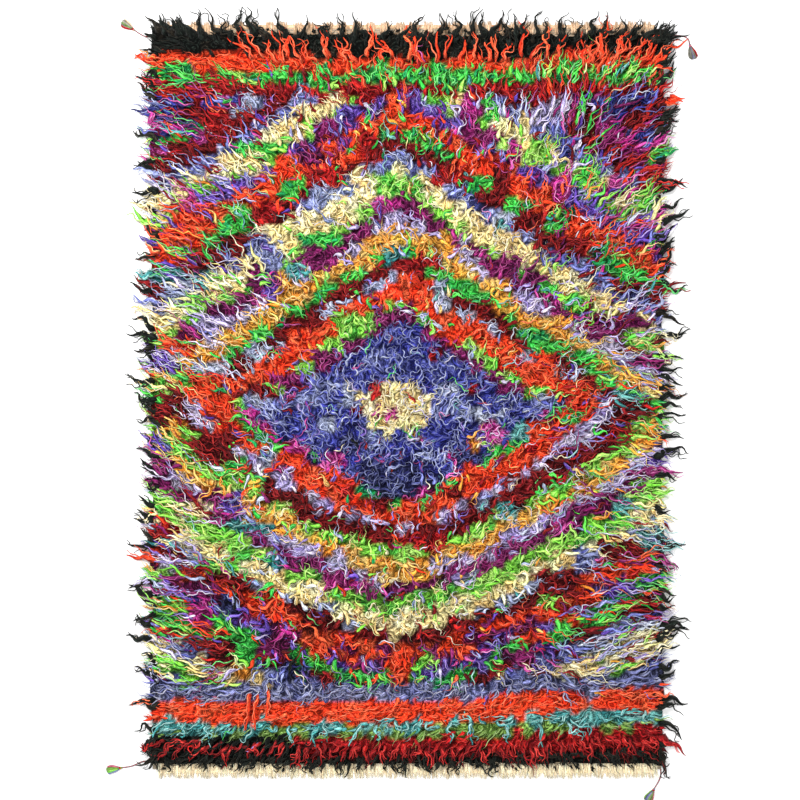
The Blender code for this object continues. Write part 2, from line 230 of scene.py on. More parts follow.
# Where the design strays from its rings: middle, half-width and half-height of each patch, in pixels.
PATCHES = {
    "red": (
        (352, 137, 14, 10), (345, 160, 18, 8), (285, 170, 10, 16), (210, 215, 42, 12), (190, 236, 28, 9),
        (165, 260, 20, 13), (180, 348, 20, 9), (310, 338, 20, 10), (212, 386, 32, 11), (396, 115, 12, 18),
        (432, 127, 12, 12), (470, 165, 18, 9), (515, 170, 8, 12), (545, 202, 10, 14), (582, 236, 20, 12),
        (650, 265, 16, 9), (412, 286, 22, 12), (458, 332, 24, 9), (505, 350, 18, 8), (541, 362, 10, 15),
        (577, 397, 17, 18), (290, 460, 20, 10), (335, 478, 24, 7), (352, 502, 22, 8), (540, 430, 10, 14),
        (524, 457, 18, 8), (472, 478, 18, 12), (416, 513, 16, 12), (270, 603, 16, 14), (322, 645, 22, 8),
        (362, 656, 24, 6), (398, 662, 14, 18), (622, 571, 30, 9), (582, 596, 25, 9), (560, 616, 20, 8),
        (530, 636, 16, 9), (464, 646, 22, 9),
    ),
    "green": (
        (190, 131, 14, 6), (168, 142, 18, 6), (260, 146, 25, 8), (240, 216, 10, 14), (320, 239, 24, 9),
        (487, 112, 12, 14), (655, 156, 14, 8), (475, 186, 8, 8), (515, 205, 10, 10), (585, 180, 11, 10),
        (555, 220, 14, 8), (615, 264, 14, 10), (550, 286, 12, 9), (576, 303, 10, 11), (590, 361, 12, 11),
        (570, 418, 10, 8), (188, 631, 28, 9), (172, 606, 26, 12), (244, 640, 18, 12), (268, 590, 12, 6),
        (250, 650, 18, 14), (600, 616, 20, 8), (236, 470, 12, 9),
    ),
    "lime": (
        (398, 187, 25, 12), (165, 385, 20, 10), (200, 308, 14, 10), (346, 320, 14, 10), (332, 350, 14, 7),
        (245, 402, 14, 8), (540, 152, 12, 14), (505, 182, 5, 14), (640, 202, 14, 9), (190, 441, 16, 8),
        (256, 485, 12, 12), (240, 546, 18, 8), (310, 575, 16, 7), (395, 555, 25, 7), (168, 604, 20, 7),
        (166, 574, 20, 7), (222, 566, 16, 6), (560, 493, 16, 6), (652, 643, 14, 5), (600, 652, 12, 5),
        (545, 601, 10, 8), (426, 664, 12, 7),
    ),
    "cream": (
        (397, 408, 38, 26), (288, 131, 22, 9), (202, 178, 30, 6), (246, 165, 24, 8), (362, 180, 12, 13),
        (160, 198, 22, 11), (326, 215, 28, 11), (275, 231, 18, 9), (225, 286, 22, 9), (525, 122, 8, 16),
        (441, 196, 9, 13), (462, 216, 12, 9), (489, 236, 14, 10), (520, 252, 18, 8), (576, 281, 12, 11),
        (642, 330, 14, 8), (198, 510, 20, 9), (216, 545, 16, 6), (260, 572, 18, 9), (303, 590, 20, 7),
        (566, 555, 20, 5), (505, 590, 14, 8), (170, 652, 24, 8), (628, 648, 30, 11), (505, 681, 10, 8),
        (588, 666, 24, 9), (205, 668, 14, 5), (655, 634, 16, 11), (350, 617, 20, 5), (454, 612, 20, 5),
        (380, 625, 20, 5), (405, 628, 20, 5), (432, 623, 18, 5),
    ),
    "orange": (
        (356, 263, 22, 9), (402, 241, 24, 8), (287, 290, 8, 14), (275, 313, 12, 8), (230, 340, 18, 8),
        (446, 246, 8, 14), (492, 286, 18, 9), (512, 306, 16, 8), (548, 321, 22, 8), (600, 351, 18, 8),
        (176, 436, 8, 16), (206, 475, 12, 6), (280, 518, 14, 6), (354, 556, 14, 8), (390, 573, 20, 7),
        (582, 489, 16, 8), (522, 515, 14, 9), (460, 550, 22, 7), (422, 574, 16, 8), (240, 671, 14, 8),
        (650, 386, 14, 8), (648, 438, 12, 7), (380, 438, 12, 4), (476, 441, 11, 5), (418, 438, 6, 4),
    ),
    "crimson": (
        (218, 122, 16, 20), (367, 146, 9, 18), (322, 178, 18, 9), (265, 216, 14, 11), (445, 178, 16, 9),
        (650, 180, 16, 15), (420, 265, 25, 7), (168, 532, 16, 11), (420, 540, 26, 10), (120, 620, 26, 8),
        (660, 98, 9, 7), (350, 490, 10, 6), (530, 448, 10, 6), (378, 390, 6, 4), (418, 398, 6, 4),
        (352, 412, 5, 4), (432, 355, 5, 3), (470, 390, 5, 3),
    ),
    "maroon": (
        (586, 125, 12, 28), (500, 182, 10, 18), (560, 244, 26, 9), (532, 220, 15, 9), (305, 322, 18, 9),
        (196, 270, 12, 12), (226, 440, 14, 12), (272, 488, 12, 16), (555, 476, 16, 8), (612, 432, 13, 12),
        (614, 546, 18, 8), (562, 588, 14, 8), (220, 650, 16, 16), (640, 611, 18, 5), (260, 393, 22, 9),
        (592, 150, 14, 12), (640, 122, 26, 8), (625, 166, 24, 7), (655, 108, 12, 6), (192, 112, 16, 8),
        (305, 500, 14, 8), (380, 500, 12, 7), (455, 492, 12, 8), (505, 476, 9, 8), (570, 455, 12, 8),
        (240, 578, 16, 6), (540, 575, 14, 6),
    ),
    "plum": (
        (326, 129, 14, 11), (312, 158, 14, 8), (315, 262, 22, 10), (255, 281, 6, 16), (226, 311, 18, 7),
        (326, 358, 16, 9), (288, 379, 20, 8), (480, 137, 18, 11), (502, 263, 20, 9), (532, 281, 12, 12),
        (622, 326, 24, 9), (395, 315, 26, 8), (166, 466, 16, 9), (214, 500, 18, 9), (292, 561, 24, 9),
        (181, 590, 28, 6), (272, 642, 18, 14), (580, 512, 16, 8), (520, 656, 20, 8),
    ),
    "magenta": (
        (170, 128, 22, 5), (196, 203, 14, 6), (384, 208, 14, 9), (468, 112, 12, 15), (515, 152, 7, 17),
        (560, 187, 11, 14), (616, 191, 20, 9), (640, 230, 14, 11), (336, 460, 14, 8), (206, 612, 12, 9),
        (655, 143, 14, 4), (202, 612, 13, 15), (494, 430, 10, 8), (300, 448, 12, 6), (390, 494, 10, 5),
        (490, 748, 12, 4), (567, 746, 9, 3), (346, 585, 20, 5), (461, 458, 14, 6), (495, 436, 8, 11),
        (560, 526, 14, 5), (385, 416, 12, 5),
    ),
    "violet": (
        (345, 120, 9, 12), (340, 143, 10, 7), (272, 286, 6, 16), (165, 366, 18, 8), (576, 202, 10, 8),
        (605, 226, 12, 8), (645, 242, 14, 7), (155, 446, 14, 8), (236, 505, 12, 9), (230, 611, 14, 9),
        (600, 590, 16, 5), (540, 646, 12, 8), (482, 656, 16, 9), (655, 460, 12, 8),
    ),
    "blue": (
        (545, 128, 18, 10), (545, 256, 12, 8), (590, 271, 14, 9), (310, 205, 16, 7), (585, 560, 12, 8),
        (192, 650, 18, 9), (270, 256, 12, 8), (570, 150, 14, 9), (302, 402, 24, 12), (470, 405, 44, 14),
        (365, 440, 22, 7), (375, 360, 14, 8), (268, 408, 20, 7), (545, 405, 16, 7), (322, 385, 16, 7),
        (430, 455, 18, 6),
    ),
    "mist": (
        (330, 190, 22, 7), (186, 292, 16, 8), (216, 370, 16, 7), (260, 351, 12, 7), (502, 220, 16, 8),
        (440, 296, 9, 16), (266, 455, 10, 8), (476, 503, 16, 5), (595, 641, 14, 8), (626, 625, 16, 6),
        (488, 414, 20, 7), (330, 424, 12, 5), (250, 108, 18, 9), (258, 400, 14, 5), (535, 396, 20, 5),
        (515, 408, 14, 5), (350, 395, 8, 12), (448, 388, 10, 6),
    ),
    "lilac": (
        (215, 325, 28, 8), (405, 223, 25, 7), (466, 252, 8, 14), (602, 345, 18, 7), (640, 374, 14, 6),
        (286, 482, 12, 10), (302, 549, 16, 8), (330, 558, 14, 9), (576, 437, 15, 8), (465, 576, 14, 8),
        (548, 112, 20, 14), (284, 470, 9, 6), (186, 562, 20, 6), (160, 586, 12, 5), (206, 582, 14, 5),
    ),
    "teal": (
        (205, 281, 12, 9), (162, 274, 18, 8), (290, 270, 20, 7), (394, 256, 10, 8), (625, 396, 16, 10),
        (250, 525, 24, 6), (276, 561, 10, 9), (520, 431, 11, 9), (510, 511, 11, 8), (620, 506, 11, 10),
        (650, 541, 11, 14), (150, 546, 16, 6),
    ),
    "royal": (
        (165, 108, 20, 10), (608, 112, 14, 9), (232, 100, 12, 8), (566, 152, 9, 11), (500, 404, 30, 10),
    ),
    "navy": (
        (398, 477, 40, 16), (352, 440, 18, 8), (470, 455, 20, 8), (230, 606, 12, 12), (300, 668, 20, 6),
    ),
    "black": (
        (150, 700, 4, 40),
    ),
}

# How the pile lies: the direction of its tips in degrees, 0 to the right and 90 up, and how unruly it is.
LIE = (  # pixel across, pixel down, degrees, unruliness
    (160, 38, 140, 0.30), (230, 38, 105, 0.35), (330, 38, 95, 0.45), (450, 38, 88, 0.45),
    (560, 38, 80, 0.45), (650, 40, 50, 0.45), (165, 76, 165, 0.35), (280, 76, 125, 0.6), (400, 76, 92, 0.6),
    (520, 76, 85, 0.5), (640, 76, 50, 0.5), (160, 61, 184, 0.3), (200, 61, 182, 0.3), (236, 62, 172, 0.3),
    (268, 62, 136, 0.5), (165, 130, 165, 0.4), (250, 130, 140, 0.6), (330, 120, 100, 0.7),
    (410, 120, 95, 0.6), (480, 120, 90, 0.6), (560, 115, 80, 0.45), (620, 125, 34, 0.4),
    (655, 150, 18, 0.4), (170, 185, 153, 0.35), (240, 190, 150, 0.45), (330, 200, 130, 0.8),
    (440, 190, 95, 0.9), (540, 200, 75, 0.9), (640, 220, 34, 0.5), (170, 260, 155, 0.30),
    (250, 270, 145, 0.6), (350, 270, 150, 0.9), (480, 270, 60, 1.0), (590, 290, 30, 0.9),
    (650, 300, 20, 0.5), (170, 350, 160, 0.30), (250, 350, 140, 0.7), (400, 350, 100, 1.1),
    (560, 370, 20, 1.0), (640, 370, -15, 0.5), (170, 440, 150, 0.40), (250, 440, 140, 0.7),
    (400, 440, 90, 1.1), (560, 450, 0, 1.0), (645, 450, -10, 0.45), (170, 530, 158, 0.40),
    (280, 520, 160, 0.9), (400, 530, 100, 1.1), (520, 520, 40, 1.0), (645, 530, -20, 0.5),
    (170, 610, 163, 0.32), (260, 610, 140, 0.8), (400, 620, 60, 1.2), (520, 620, 0, 0.9),
    (640, 590, -12, 0.45), (170, 660, 160, 0.35), (300, 665, -60, 0.8), (420, 665, -90, 0.9),
    (540, 665, -30, 0.8), (640, 645, 24, 0.35), (596, 662, 26, 0.35), (170, 710, 182, 0.5),
    (260, 710, 188, 0.4), (350, 710, 176, 0.3), (450, 708, 182, 0.3), (550, 706, 178, 0.3),
    (640, 703, 2, 0.35), (655, 705, -5, 0.5), (160, 750, -150, 0.4), (260, 750, -110, 0.4),
    (400, 750, -90, 0.45), (540, 750, -78, 0.45), (650, 755, -50, 0.4),
)
LIE_REACH = 26.0
COMBED_FROM = 105.0
COMBED_OVER = 95.0

# Locks that reach over the next stripe or out over an end. The taper is high where only the root is broad.
# The columns: yarn, pixels across of the first and last lock, pixel down, degrees of the first and last,
# count, shortest and longest, width, taper, unruliness.
REACHING = (
    ("black", 160, 198, 35, 128, 116, 9, 0.044, 0.066, 0.028, 1.5, 0.35),
    ("black", 200, 306, 38, 124, 92, 8, 0.070, 0.098, 0.027, 2.1, 0.55),
    ("black", 308, 500, 38, 110, 80, 14, 0.056, 0.088, 0.025, 2.1, 0.60),
    ("black", 502, 640, 38, 96, 62, 14, 0.056, 0.086, 0.024, 2.1, 0.60),
    ("black", 642, 664, 42, 56, 14, 8, 0.056, 0.084, 0.024, 1.5, 0.35),
    ("red", 246, 306, 62, 126, 104, 7, 0.070, 0.108, 0.0100, 0.8, 0.50),
    ("red", 308, 560, 62, 114, 78, 22, 0.056, 0.112, 0.0105, 0.8, 0.55),
    ("red", 578, 658, 64, 84, 40, 13, 0.076, 0.124, 0.0120, 0.8, 0.45),
    ("lime", 560, 650, 78, 80, 45, 4, 0.036, 0.056, 0.008, 0.8, 0.45),
    ("green", 300, 650, 84, 110, 60, 14, 0.034, 0.056, 0.009, 0.8, 0.70),
    ("lilac", 440, 600, 116, 104, 70, 10, 0.036, 0.060, 0.007, 0.7, 0.75),
    ("red", 662, 674, 100, 10, -6, 3, 0.030, 0.046, 0.018, 1.3, 0.30),
    ("black", 658, 664, 118, 12, 28, 4, 0.044, 0.066, 0.020, 1.5, 0.30),
    ("red", 248, 270, 690, -104, -84, 3, 0.080, 0.110, 0.011, 0.8, 0.25),
    ("teal", 160, 648, 722, -140, -40, 24, 0.036, 0.084, 0.0080, 0.7, 0.80),
    ("teal", 380, 650, 726, 130, 50, 8, 0.030, 0.050, 0.0065, 0.7, 0.90),
    ("maroon", 150, 330, 742, -160, -100, 28, 0.036, 0.060, 0.010, 1.0, 0.60),
    ("crimson", 150, 330, 742, -150, -96, 13, 0.040, 0.078, 0.0070, 0.8, 0.75),
    ("black", 150, 320, 740, -150, -100, 10, 0.030, 0.050, 0.012, 1.2, 0.60),
    ("crimson", 330, 656, 746, -108, -54, 32, 0.034, 0.060, 0.010, 0.8, 0.60),
    ("black", 150, 658, 758, -135, -45, 44, 0.020, 0.050, 0.012, 1.3, 0.80),
    ("black", 150, 658, 754, -120, -60, 30, 0.046, 0.074, 0.007, 0.9, 0.85),
)

# Yarns that turn up in place of another here and there, as when a knot is tied with what is at hand.
COMPANIONS = {
    "black": ("black", "black", "maroon"),
    "red": ("maroon", "crimson", "orange", "green", "violet", "plum"),
    "green": ("lime", "teal", "maroon", "red", "lime"),
    "lime": ("green", "cream", "orange", "mist"),
    "maroon": ("plum", "crimson", "crimson", "green", "violet"),
    "crimson": ("maroon", "red", "maroon", "plum"),
    "blue": ("lilac", "violet", "mist", "royal", "magenta", "maroon"),
    "royal": ("blue", "navy", "maroon", "violet", "plum", "green"),
    "navy": ("royal", "blue", "black"),
    "mist": ("lilac", "teal", "blue", "cream"),
    "lilac": ("mist", "plum", "orange", "blue"),
    "plum": ("magenta", "maroon", "violet", "lilac"),
    "magenta": ("plum", "violet", "red", "lilac"),
    "violet": ("blue", "plum", "magenta", "lilac"),
    "cream": ("lilac", "mist", "lime", "cream", "maroon"),
    "orange": ("lilac", "lime", "red", "cream", "green"),
    "teal": ("green", "mist", "teal", "blue"),
}

# Shares of stray knots and strands, in the middle lozenges and far out from them, and the half-heights of the
# lozenges between which they grow.
STRAY_KNOTS = (0.20, 0.35)
STRAY_STRANDS = (0.04, 0.085)
STRAY_FROM = (200.0, 300.0)
STRAY_BELOW = 0.06
COMBED_STRAYS = 0.10
COMBED_ODD = 0.05

# The pixel rows between which yarns stray from the design, and the first one for fine curls.
DESIGN_ROWS = (72, 692)
CURLS_FROM = 92

PALE_CURLS = 0.055
PALE_YARNS = ("mist", "lilac", "teal", "mist", "cream")

# The tassels: the yarn that binds each, and the yarns of its strands.
TASSELS = {
    "top_left": ("crimson", ("tan", "grey", "grey", "moss", "grey", "crimson")),
    "top_right": ("rose", ("grey", "grey", "steel", "grey", "crimson")),
    "bottom_left": ("crimson", ("rose", "moss", "moss", "lime", "steel")),
    "bottom_right": ("crimson", ("moss", "steel", "grey", "moss", "rose")),
}
TASSEL_SECTIONS = (  # distance from the cord, width, height
    (0.0000, 0.0040, 0.0038),
    (0.0015, 0.0056, 0.0052),
    (0.0040, 0.0060, 0.0056),
    (0.0068, 0.0058, 0.0054),
    (0.0090, 0.0068, 0.0058),
    (0.0120, 0.0080, 0.0060),
)
TASSEL_BINDING = (0.0030, 0.0068)
TASSEL_STRANDS = 84


def linear(rgb):
    """Linear light of display colours."""
    rgb = np.asarray(rgb, float)
    return np.where(rgb <= 0.04045, rgb / 12.92, ((rgb + 0.055) / 1.055) ** 2.4)


def ease(value):
    """A smooth step from 0 to 1."""
    value = np.clip(value, 0.0, 1.0)
    return value * value * (3.0 - 2.0 * value)


def codes(names):
    """The yarns' indices into NAMES."""
    return np.array([CODE[name] for name in names])


def between(table, u, v, ramp=np.asarray):
    """Values between the points of a table that repeats past its edges."""
    i = np.floor(u).astype(int)
    j = np.floor(v).astype(int)
    s = ramp(u - i)
    t = ramp(v - j)
    rows, columns = table.shape
    here, there = i % rows, (i + 1) % rows
    below, above = j % columns, (j + 1) % columns
    low = table[here, below] * (1 - s) + table[there, below] * s
    high = table[here, above] * (1 - s) + table[there, above] * s
    return low * (1 - t) + high * t


def lumps(x, y, size, seed):
    """Smooth noise from -1 to 1 over the floor, with lumps of this size."""
    table = np.random.default_rng(seed).uniform(-1.0, 1.0, (NOISE_LUMPS, NOISE_LUMPS))
    return between(table, x / size, y / size, ease)


def wander(start, x, y, waves):
    """The start's values, moved by waves of smooth noise."""
    for swing, size, seed in waves:
        start = start + swing * lumps(x, y, size, seed)
    return start


def photo_to_rug(px, py):
    """Metres on the rug of photo pixels."""
    return (px - MIDDLE_X) * PIXEL, (MIDDLE_Y - py) * PIXEL


def rug_to_photo(x, y):
    """Photo pixels of metres on the rug."""
    return x / PIXEL + MIDDLE_X, MIDDLE_Y - y / PIXEL


def floor_grid(width, length, step):
    """Points about a step apart over a rectangle round the middle."""
    across = np.linspace(-width / 2, width / 2, round(width / step) + 1)
    along = np.linspace(-length / 2, length / 2, round(length / step) + 1)
    return np.meshgrid(across, along, indexing="ij")


def height_grid():
    """The part's own pile height over the field, at points a step apart."""
    across = np.arange(-FIELD_WIDTH / 2, FIELD_WIDTH / 2 + HEIGHT_STEP, HEIGHT_STEP)
    along = np.arange(-FIELD_LENGTH / 2, FIELD_LENGTH / 2 + HEIGHT_STEP, HEIGHT_STEP)
    grid = np.empty((len(across), len(along)))
    for i, x in enumerate(across):
        for j, y in enumerate(along):
            inside = min(FIELD_WIDTH / 2 - abs(x), FIELD_LENGTH / 2 - abs(y))
            share = float(ease(inside / RIM_FALL))
            tuft = noise.cell(Vector((x / TUFT_WIDTH, y / TUFT_LENGTH, 0.3)))
            swell = noise.noise(Vector((x / SWELL_LENGTH, y / SWELL_LENGTH, 7.1)))
            relief = RIM_RELIEF + (1.0 - RIM_RELIEF) * share
            height = RIM_HEIGHT + (CROWN_HEIGHT - RIM_HEIGHT) * share
            grid[i, j] = height + relief * (TUFT_RELIEF * tuft + SWELL_RELIEF * swell)
    return grid


HEIGHTS = height_grid()


def pile_top(x, y):
    """Height of the pile at any place: the part's over the field, falling to the floor past the rim."""
    u = np.clip((x + FIELD_WIDTH / 2) / HEIGHT_STEP, 0, HEIGHTS.shape[0] - 1.001)
    v = np.clip((y + FIELD_LENGTH / 2) / HEIGHT_STEP, 0, HEIGHTS.shape[1] - 1.001)
    height = between(HEIGHTS, u, v)
    outside = np.maximum(np.abs(x) - FIELD_WIDTH / 2, np.abs(y) - FIELD_LENGTH / 2)
    return FLOOR_PILE + (height - FLOOR_PILE) * (1.0 - ease(outside / OVERHANG))


def lozenge_at(px, py):
    """Half-height of the lozenge that passes through each place."""
    across = np.abs(px - LOZENGE_X)
    down = np.abs(py - LOZENGE_Y)
    upper = down + UPPER_SLOPE * across
    lower = (down ** LOWER_ROUNDING + (LOWER_SLOPE * across) ** LOWER_ROUNDING) ** (1.0 / LOWER_ROUNDING)
    return np.where(py < LOZENGE_Y, upper, lower)


def in_table(rings, size):
    """The yarn of the ring that each size falls in."""
    ring = np.searchsorted([outer for outer, _ in rings], size)
    return codes(name for _, name in rings)[np.minimum(ring, len(rings) - 1)]


def side_wave(y):
    """How far the pile's side edges wave out and in along the rug."""
    return wander(0.0, y, np.zeros_like(y), SIDE_WAVES)


def end_line(x, y):
    """Distance from the middle at which the pile stops at either end."""
    wave = wander(0.0, x, np.zeros_like(x), END_WAVES)
    corner = 0.016 * ease((-0.48 - x) / 0.05)
    return np.where(y > 0, TOP_LINE + corner, BOTTOM_LINE) + wave


def flat_woven(py):
    """How flat the pile lies: fully in the bright stripes of the lower end, and nowhere else."""
    return ease((py - 694.0) / 6.0) * ease((738.0 - py) / 6.0)


def combed(px):
    """How far the pile is combed out sideways: not at all in the middle, fully by the sides."""
    return ease((np.abs(px - LOZENGE_X) - COMBED_FROM) / COMBED_OVER)


def yarn_at(x, y):
    """The yarn of the design at each place, as an index into NAMES."""
    px, py = rug_to_photo(x, y)
    qx = wander(px, px, py, ACROSS_WAVES)
    qy = wander(py, px, py, DOWN_WAVES)
    size = lozenge_at(qx, qy)
    upper = in_table(UPPER_RINGS, size)
    lower = in_table(LOWER_RINGS, size)
    yarn = np.where(qy < LOZENGE_Y, upper, lower)
    ragged = 1.0 + 0.25 * lumps(px, py, 9.0, 15)
    for name, places in PATCHES.items():
        for mx, my, half_width, half_height in places:
            near = ((px - mx) / half_width) ** 2 + ((py - my) / half_height) ** 2
            yarn = np.where(near < ragged, CODE[name], yarn)
    rising = np.clip((px - 420.0) / 240.0, 0.0, 1.0)
    tilt = 15.0 * rising * np.clip((790.0 - py) / 90.0, 0.0, 1.0) * (py > 400.0)
    stripe_y = py + tilt + (2.0 + 4.0 * ((py > 62) & (py < 110))) * lumps(px, py, 17.0, 16)
    starts = [row[0] for row in STRIPES]
    stripe = np.clip(np.searchsorted(starts, stripe_y, side="right") - 1, 0, len(STRIPES) - 1)
    left, right = (np.array([CODE.get(row[part], -1) for row in STRIPES])[stripe] for part in (1, 2))
    striped = np.where(px + 60.0 * lumps(px, py, 20.0, 17) < STRIPES_PART, left, right)
    return np.where(striped >= 0, striped, yarn)


def far_out(px, py):
    """0 in the middle lozenges, where few yarns stray, rising to 1 far out from them."""
    return ease((lozenge_at(px, py) - STRAY_FROM[0]) / (STRAY_FROM[1] - STRAY_FROM[0]))


def may_stray(py, top=DESIGN_ROWS[0]):
    """Where yarns may stray from the design: between its end stripes."""
    return (py > top) & (py < DESIGN_ROWS[1])


def lie_at(x, y):
    """Direction of the pile's tips in radians, and its unruliness, blended from the stations of LIE."""
    px, py = rug_to_photo(x, y)
    east = np.zeros_like(px)
    north = np.zeros_like(px)
    unruly = np.zeros_like(px)
    total = np.zeros_like(px)
    for sx, sy, degrees, station_unruly in LIE:
        weight = ((px - sx) ** 2 + (1.6 * (py - sy)) ** 2 + LIE_REACH ** 2) ** -1.8
        east += weight * math.cos(math.radians(degrees))
        north += weight * math.sin(math.radians(degrees))
        unruly += weight * station_unruly
        total += weight
    return np.arctan2(north, east), unruly / total


def shades(rng, yarn, spread=0.10):
    """Linear colour of each lock: one of its yarn's shades, a little lighter or darker than the next."""
    pick = np.searchsorted((0.5, 0.8), rng.random(len(yarn)))
    table = np.array([YARNS[name][:3] for name in NAMES])
    lightness = 1.0 + spread * rng.standard_normal(len(yarn))
    return linear(np.clip(table[yarn, pick] * lightness[:, None], 0.015, 1.0))


def curl_shades(rng, yarn):
    """Linear colour of each fine curl, anywhere from a shade of its yarn to its paler curls."""
    fine = linear(np.array([YARNS[name][3] for name in NAMES]))[yarn]
    full = shades(rng, yarn, 0.08)
    return full + (fine - full) * rng.uniform(0.1, 1.0, len(yarn))[:, None]


def manners(rng, unruly, bend_wave, curl_wave):
    """How each lock bends and curls: two swings, two wave lengths and two phases."""
    count = len(unruly)
    return np.stack([
        unruly * rng.uniform(0.6, 1.5, count),
        unruly * rng.uniform(0.35, 0.95, count),
        bend_wave * rng.uniform(0.8, 1.25, count),
        curl_wave * rng.uniform(0.8, 1.25, count),
        rng.uniform(0.0, TAU, count),
        rng.uniform(0.0, TAU, count),
    ])


def grow(rng, x, y, heading, length, manner, level, points):
    """Path of each lock: up out of its knot, over onto the pile and along it in bends and curls."""
    share = np.linspace(0.0, 1.0, points)[None, :]
    run = share * length[:, None]
    bend, curl, bend_wave, curl_wave, phase, quick = manner[:, :, None]
    swing = bend * np.sin(TAU * run / bend_wave + phase) + curl * np.sin(TAU * run / curl_wave + quick)
    angle = heading[:, None] + np.minimum(1.0, 0.35 + run / 0.035) * swing
    step = length[:, None] / (points - 1) * np.minimum(1.0, 0.45 + run / 0.025)
    dx = np.cos(angle) * step
    dy = np.sin(angle) * step
    paths = np.empty((len(x), points, 3))
    paths[:, :, 0] = x[:, None] + np.cumsum(dx, axis=1) - dx
    paths[:, :, 1] = y[:, None] + np.cumsum(dy, axis=1) - dy
    top = pile_top(paths[:, :, 0], paths[:, :, 1])
    sag = 1.0 - 0.45 * ease((share - 0.45) / 0.55) * rng.random(len(x))[:, None]
    ripple = 0.0020 * np.sin(TAU * run / (0.8 * curl_wave) + 1.7 * quick)
    target = top * level[:, None] * sag + ripple * np.minimum(1.0, top / 0.012)
    root = 0.22 * top
    paths[:, :, 2] = root + (target - root) * ease(run / 0.014)
    return paths


def thickness(paths, radius, taper_from):
    """Radius along each strand: full by its root and drawn out to a fine tip."""
    share = np.linspace(0.0, 1.0, paths.shape[1])[None, :]
    body = 0.74 + 0.26 * np.sin(math.pi * np.minimum(1.0, share * 1.6 + 0.1))
    return radius[:, None] * body * (1.0 - 0.92 * ease((share - taper_from) / (1.0 - taper_from)))


def spindle(paths, width):
    """Radius along each lock of the pile: slender at its root and drawn out to a tip."""
    share = np.linspace(0.0, 1.0, paths.shape[1])[None, :]
    root = 0.40 + 0.60 * ease(share / 0.30)
    return width[:, None] / 2 * root * (1.0 - 0.92 * ease((share - 0.25) / 0.75))


def wisp(paths, width, taper=1.3):
    """Radius along each lock that reaches out: broad at its root, and sooner fine the higher its taper."""
    share = np.linspace(0.0, 1.0, paths.shape[1])[None, :]
    return 0.0010 + width[:, None] / 2 * (1.0 - share) ** taper


def lock_set(rng, x, y, heading, length, unruly, level, width, curls_each, outrun, waves, points):
    """Locks, and the fine curls that lie along them and run past their tips, each with its lock's index."""
    manner = manners(rng, unruly, *waves)
    bodies = grow(rng, x, y, heading, length, manner, level, points)
    of = scattered_copies(rng, len(x), curls_each)
    count = len(of)
    aside = rng.uniform(-0.34, 0.34, count) * width[of]
    finer = manner[:, of]
    finer[1] = 1.20 * finer[1] + 0.26
    finer[3] = 0.85 * finer[3]
    curls = grow(
        rng,
        x[of] - aside * np.sin(heading[of]),
        y[of] + aside * np.cos(heading[of]),
        heading[of] + 0.16 * rng.standard_normal(count),
        length[of] * rng.uniform(*outrun, count),
        finer,
        np.minimum(1.22, level[of] + rng.uniform(0.10, 0.32, count)),
        CURL_POINTS,
    )
    return bodies, curls, of


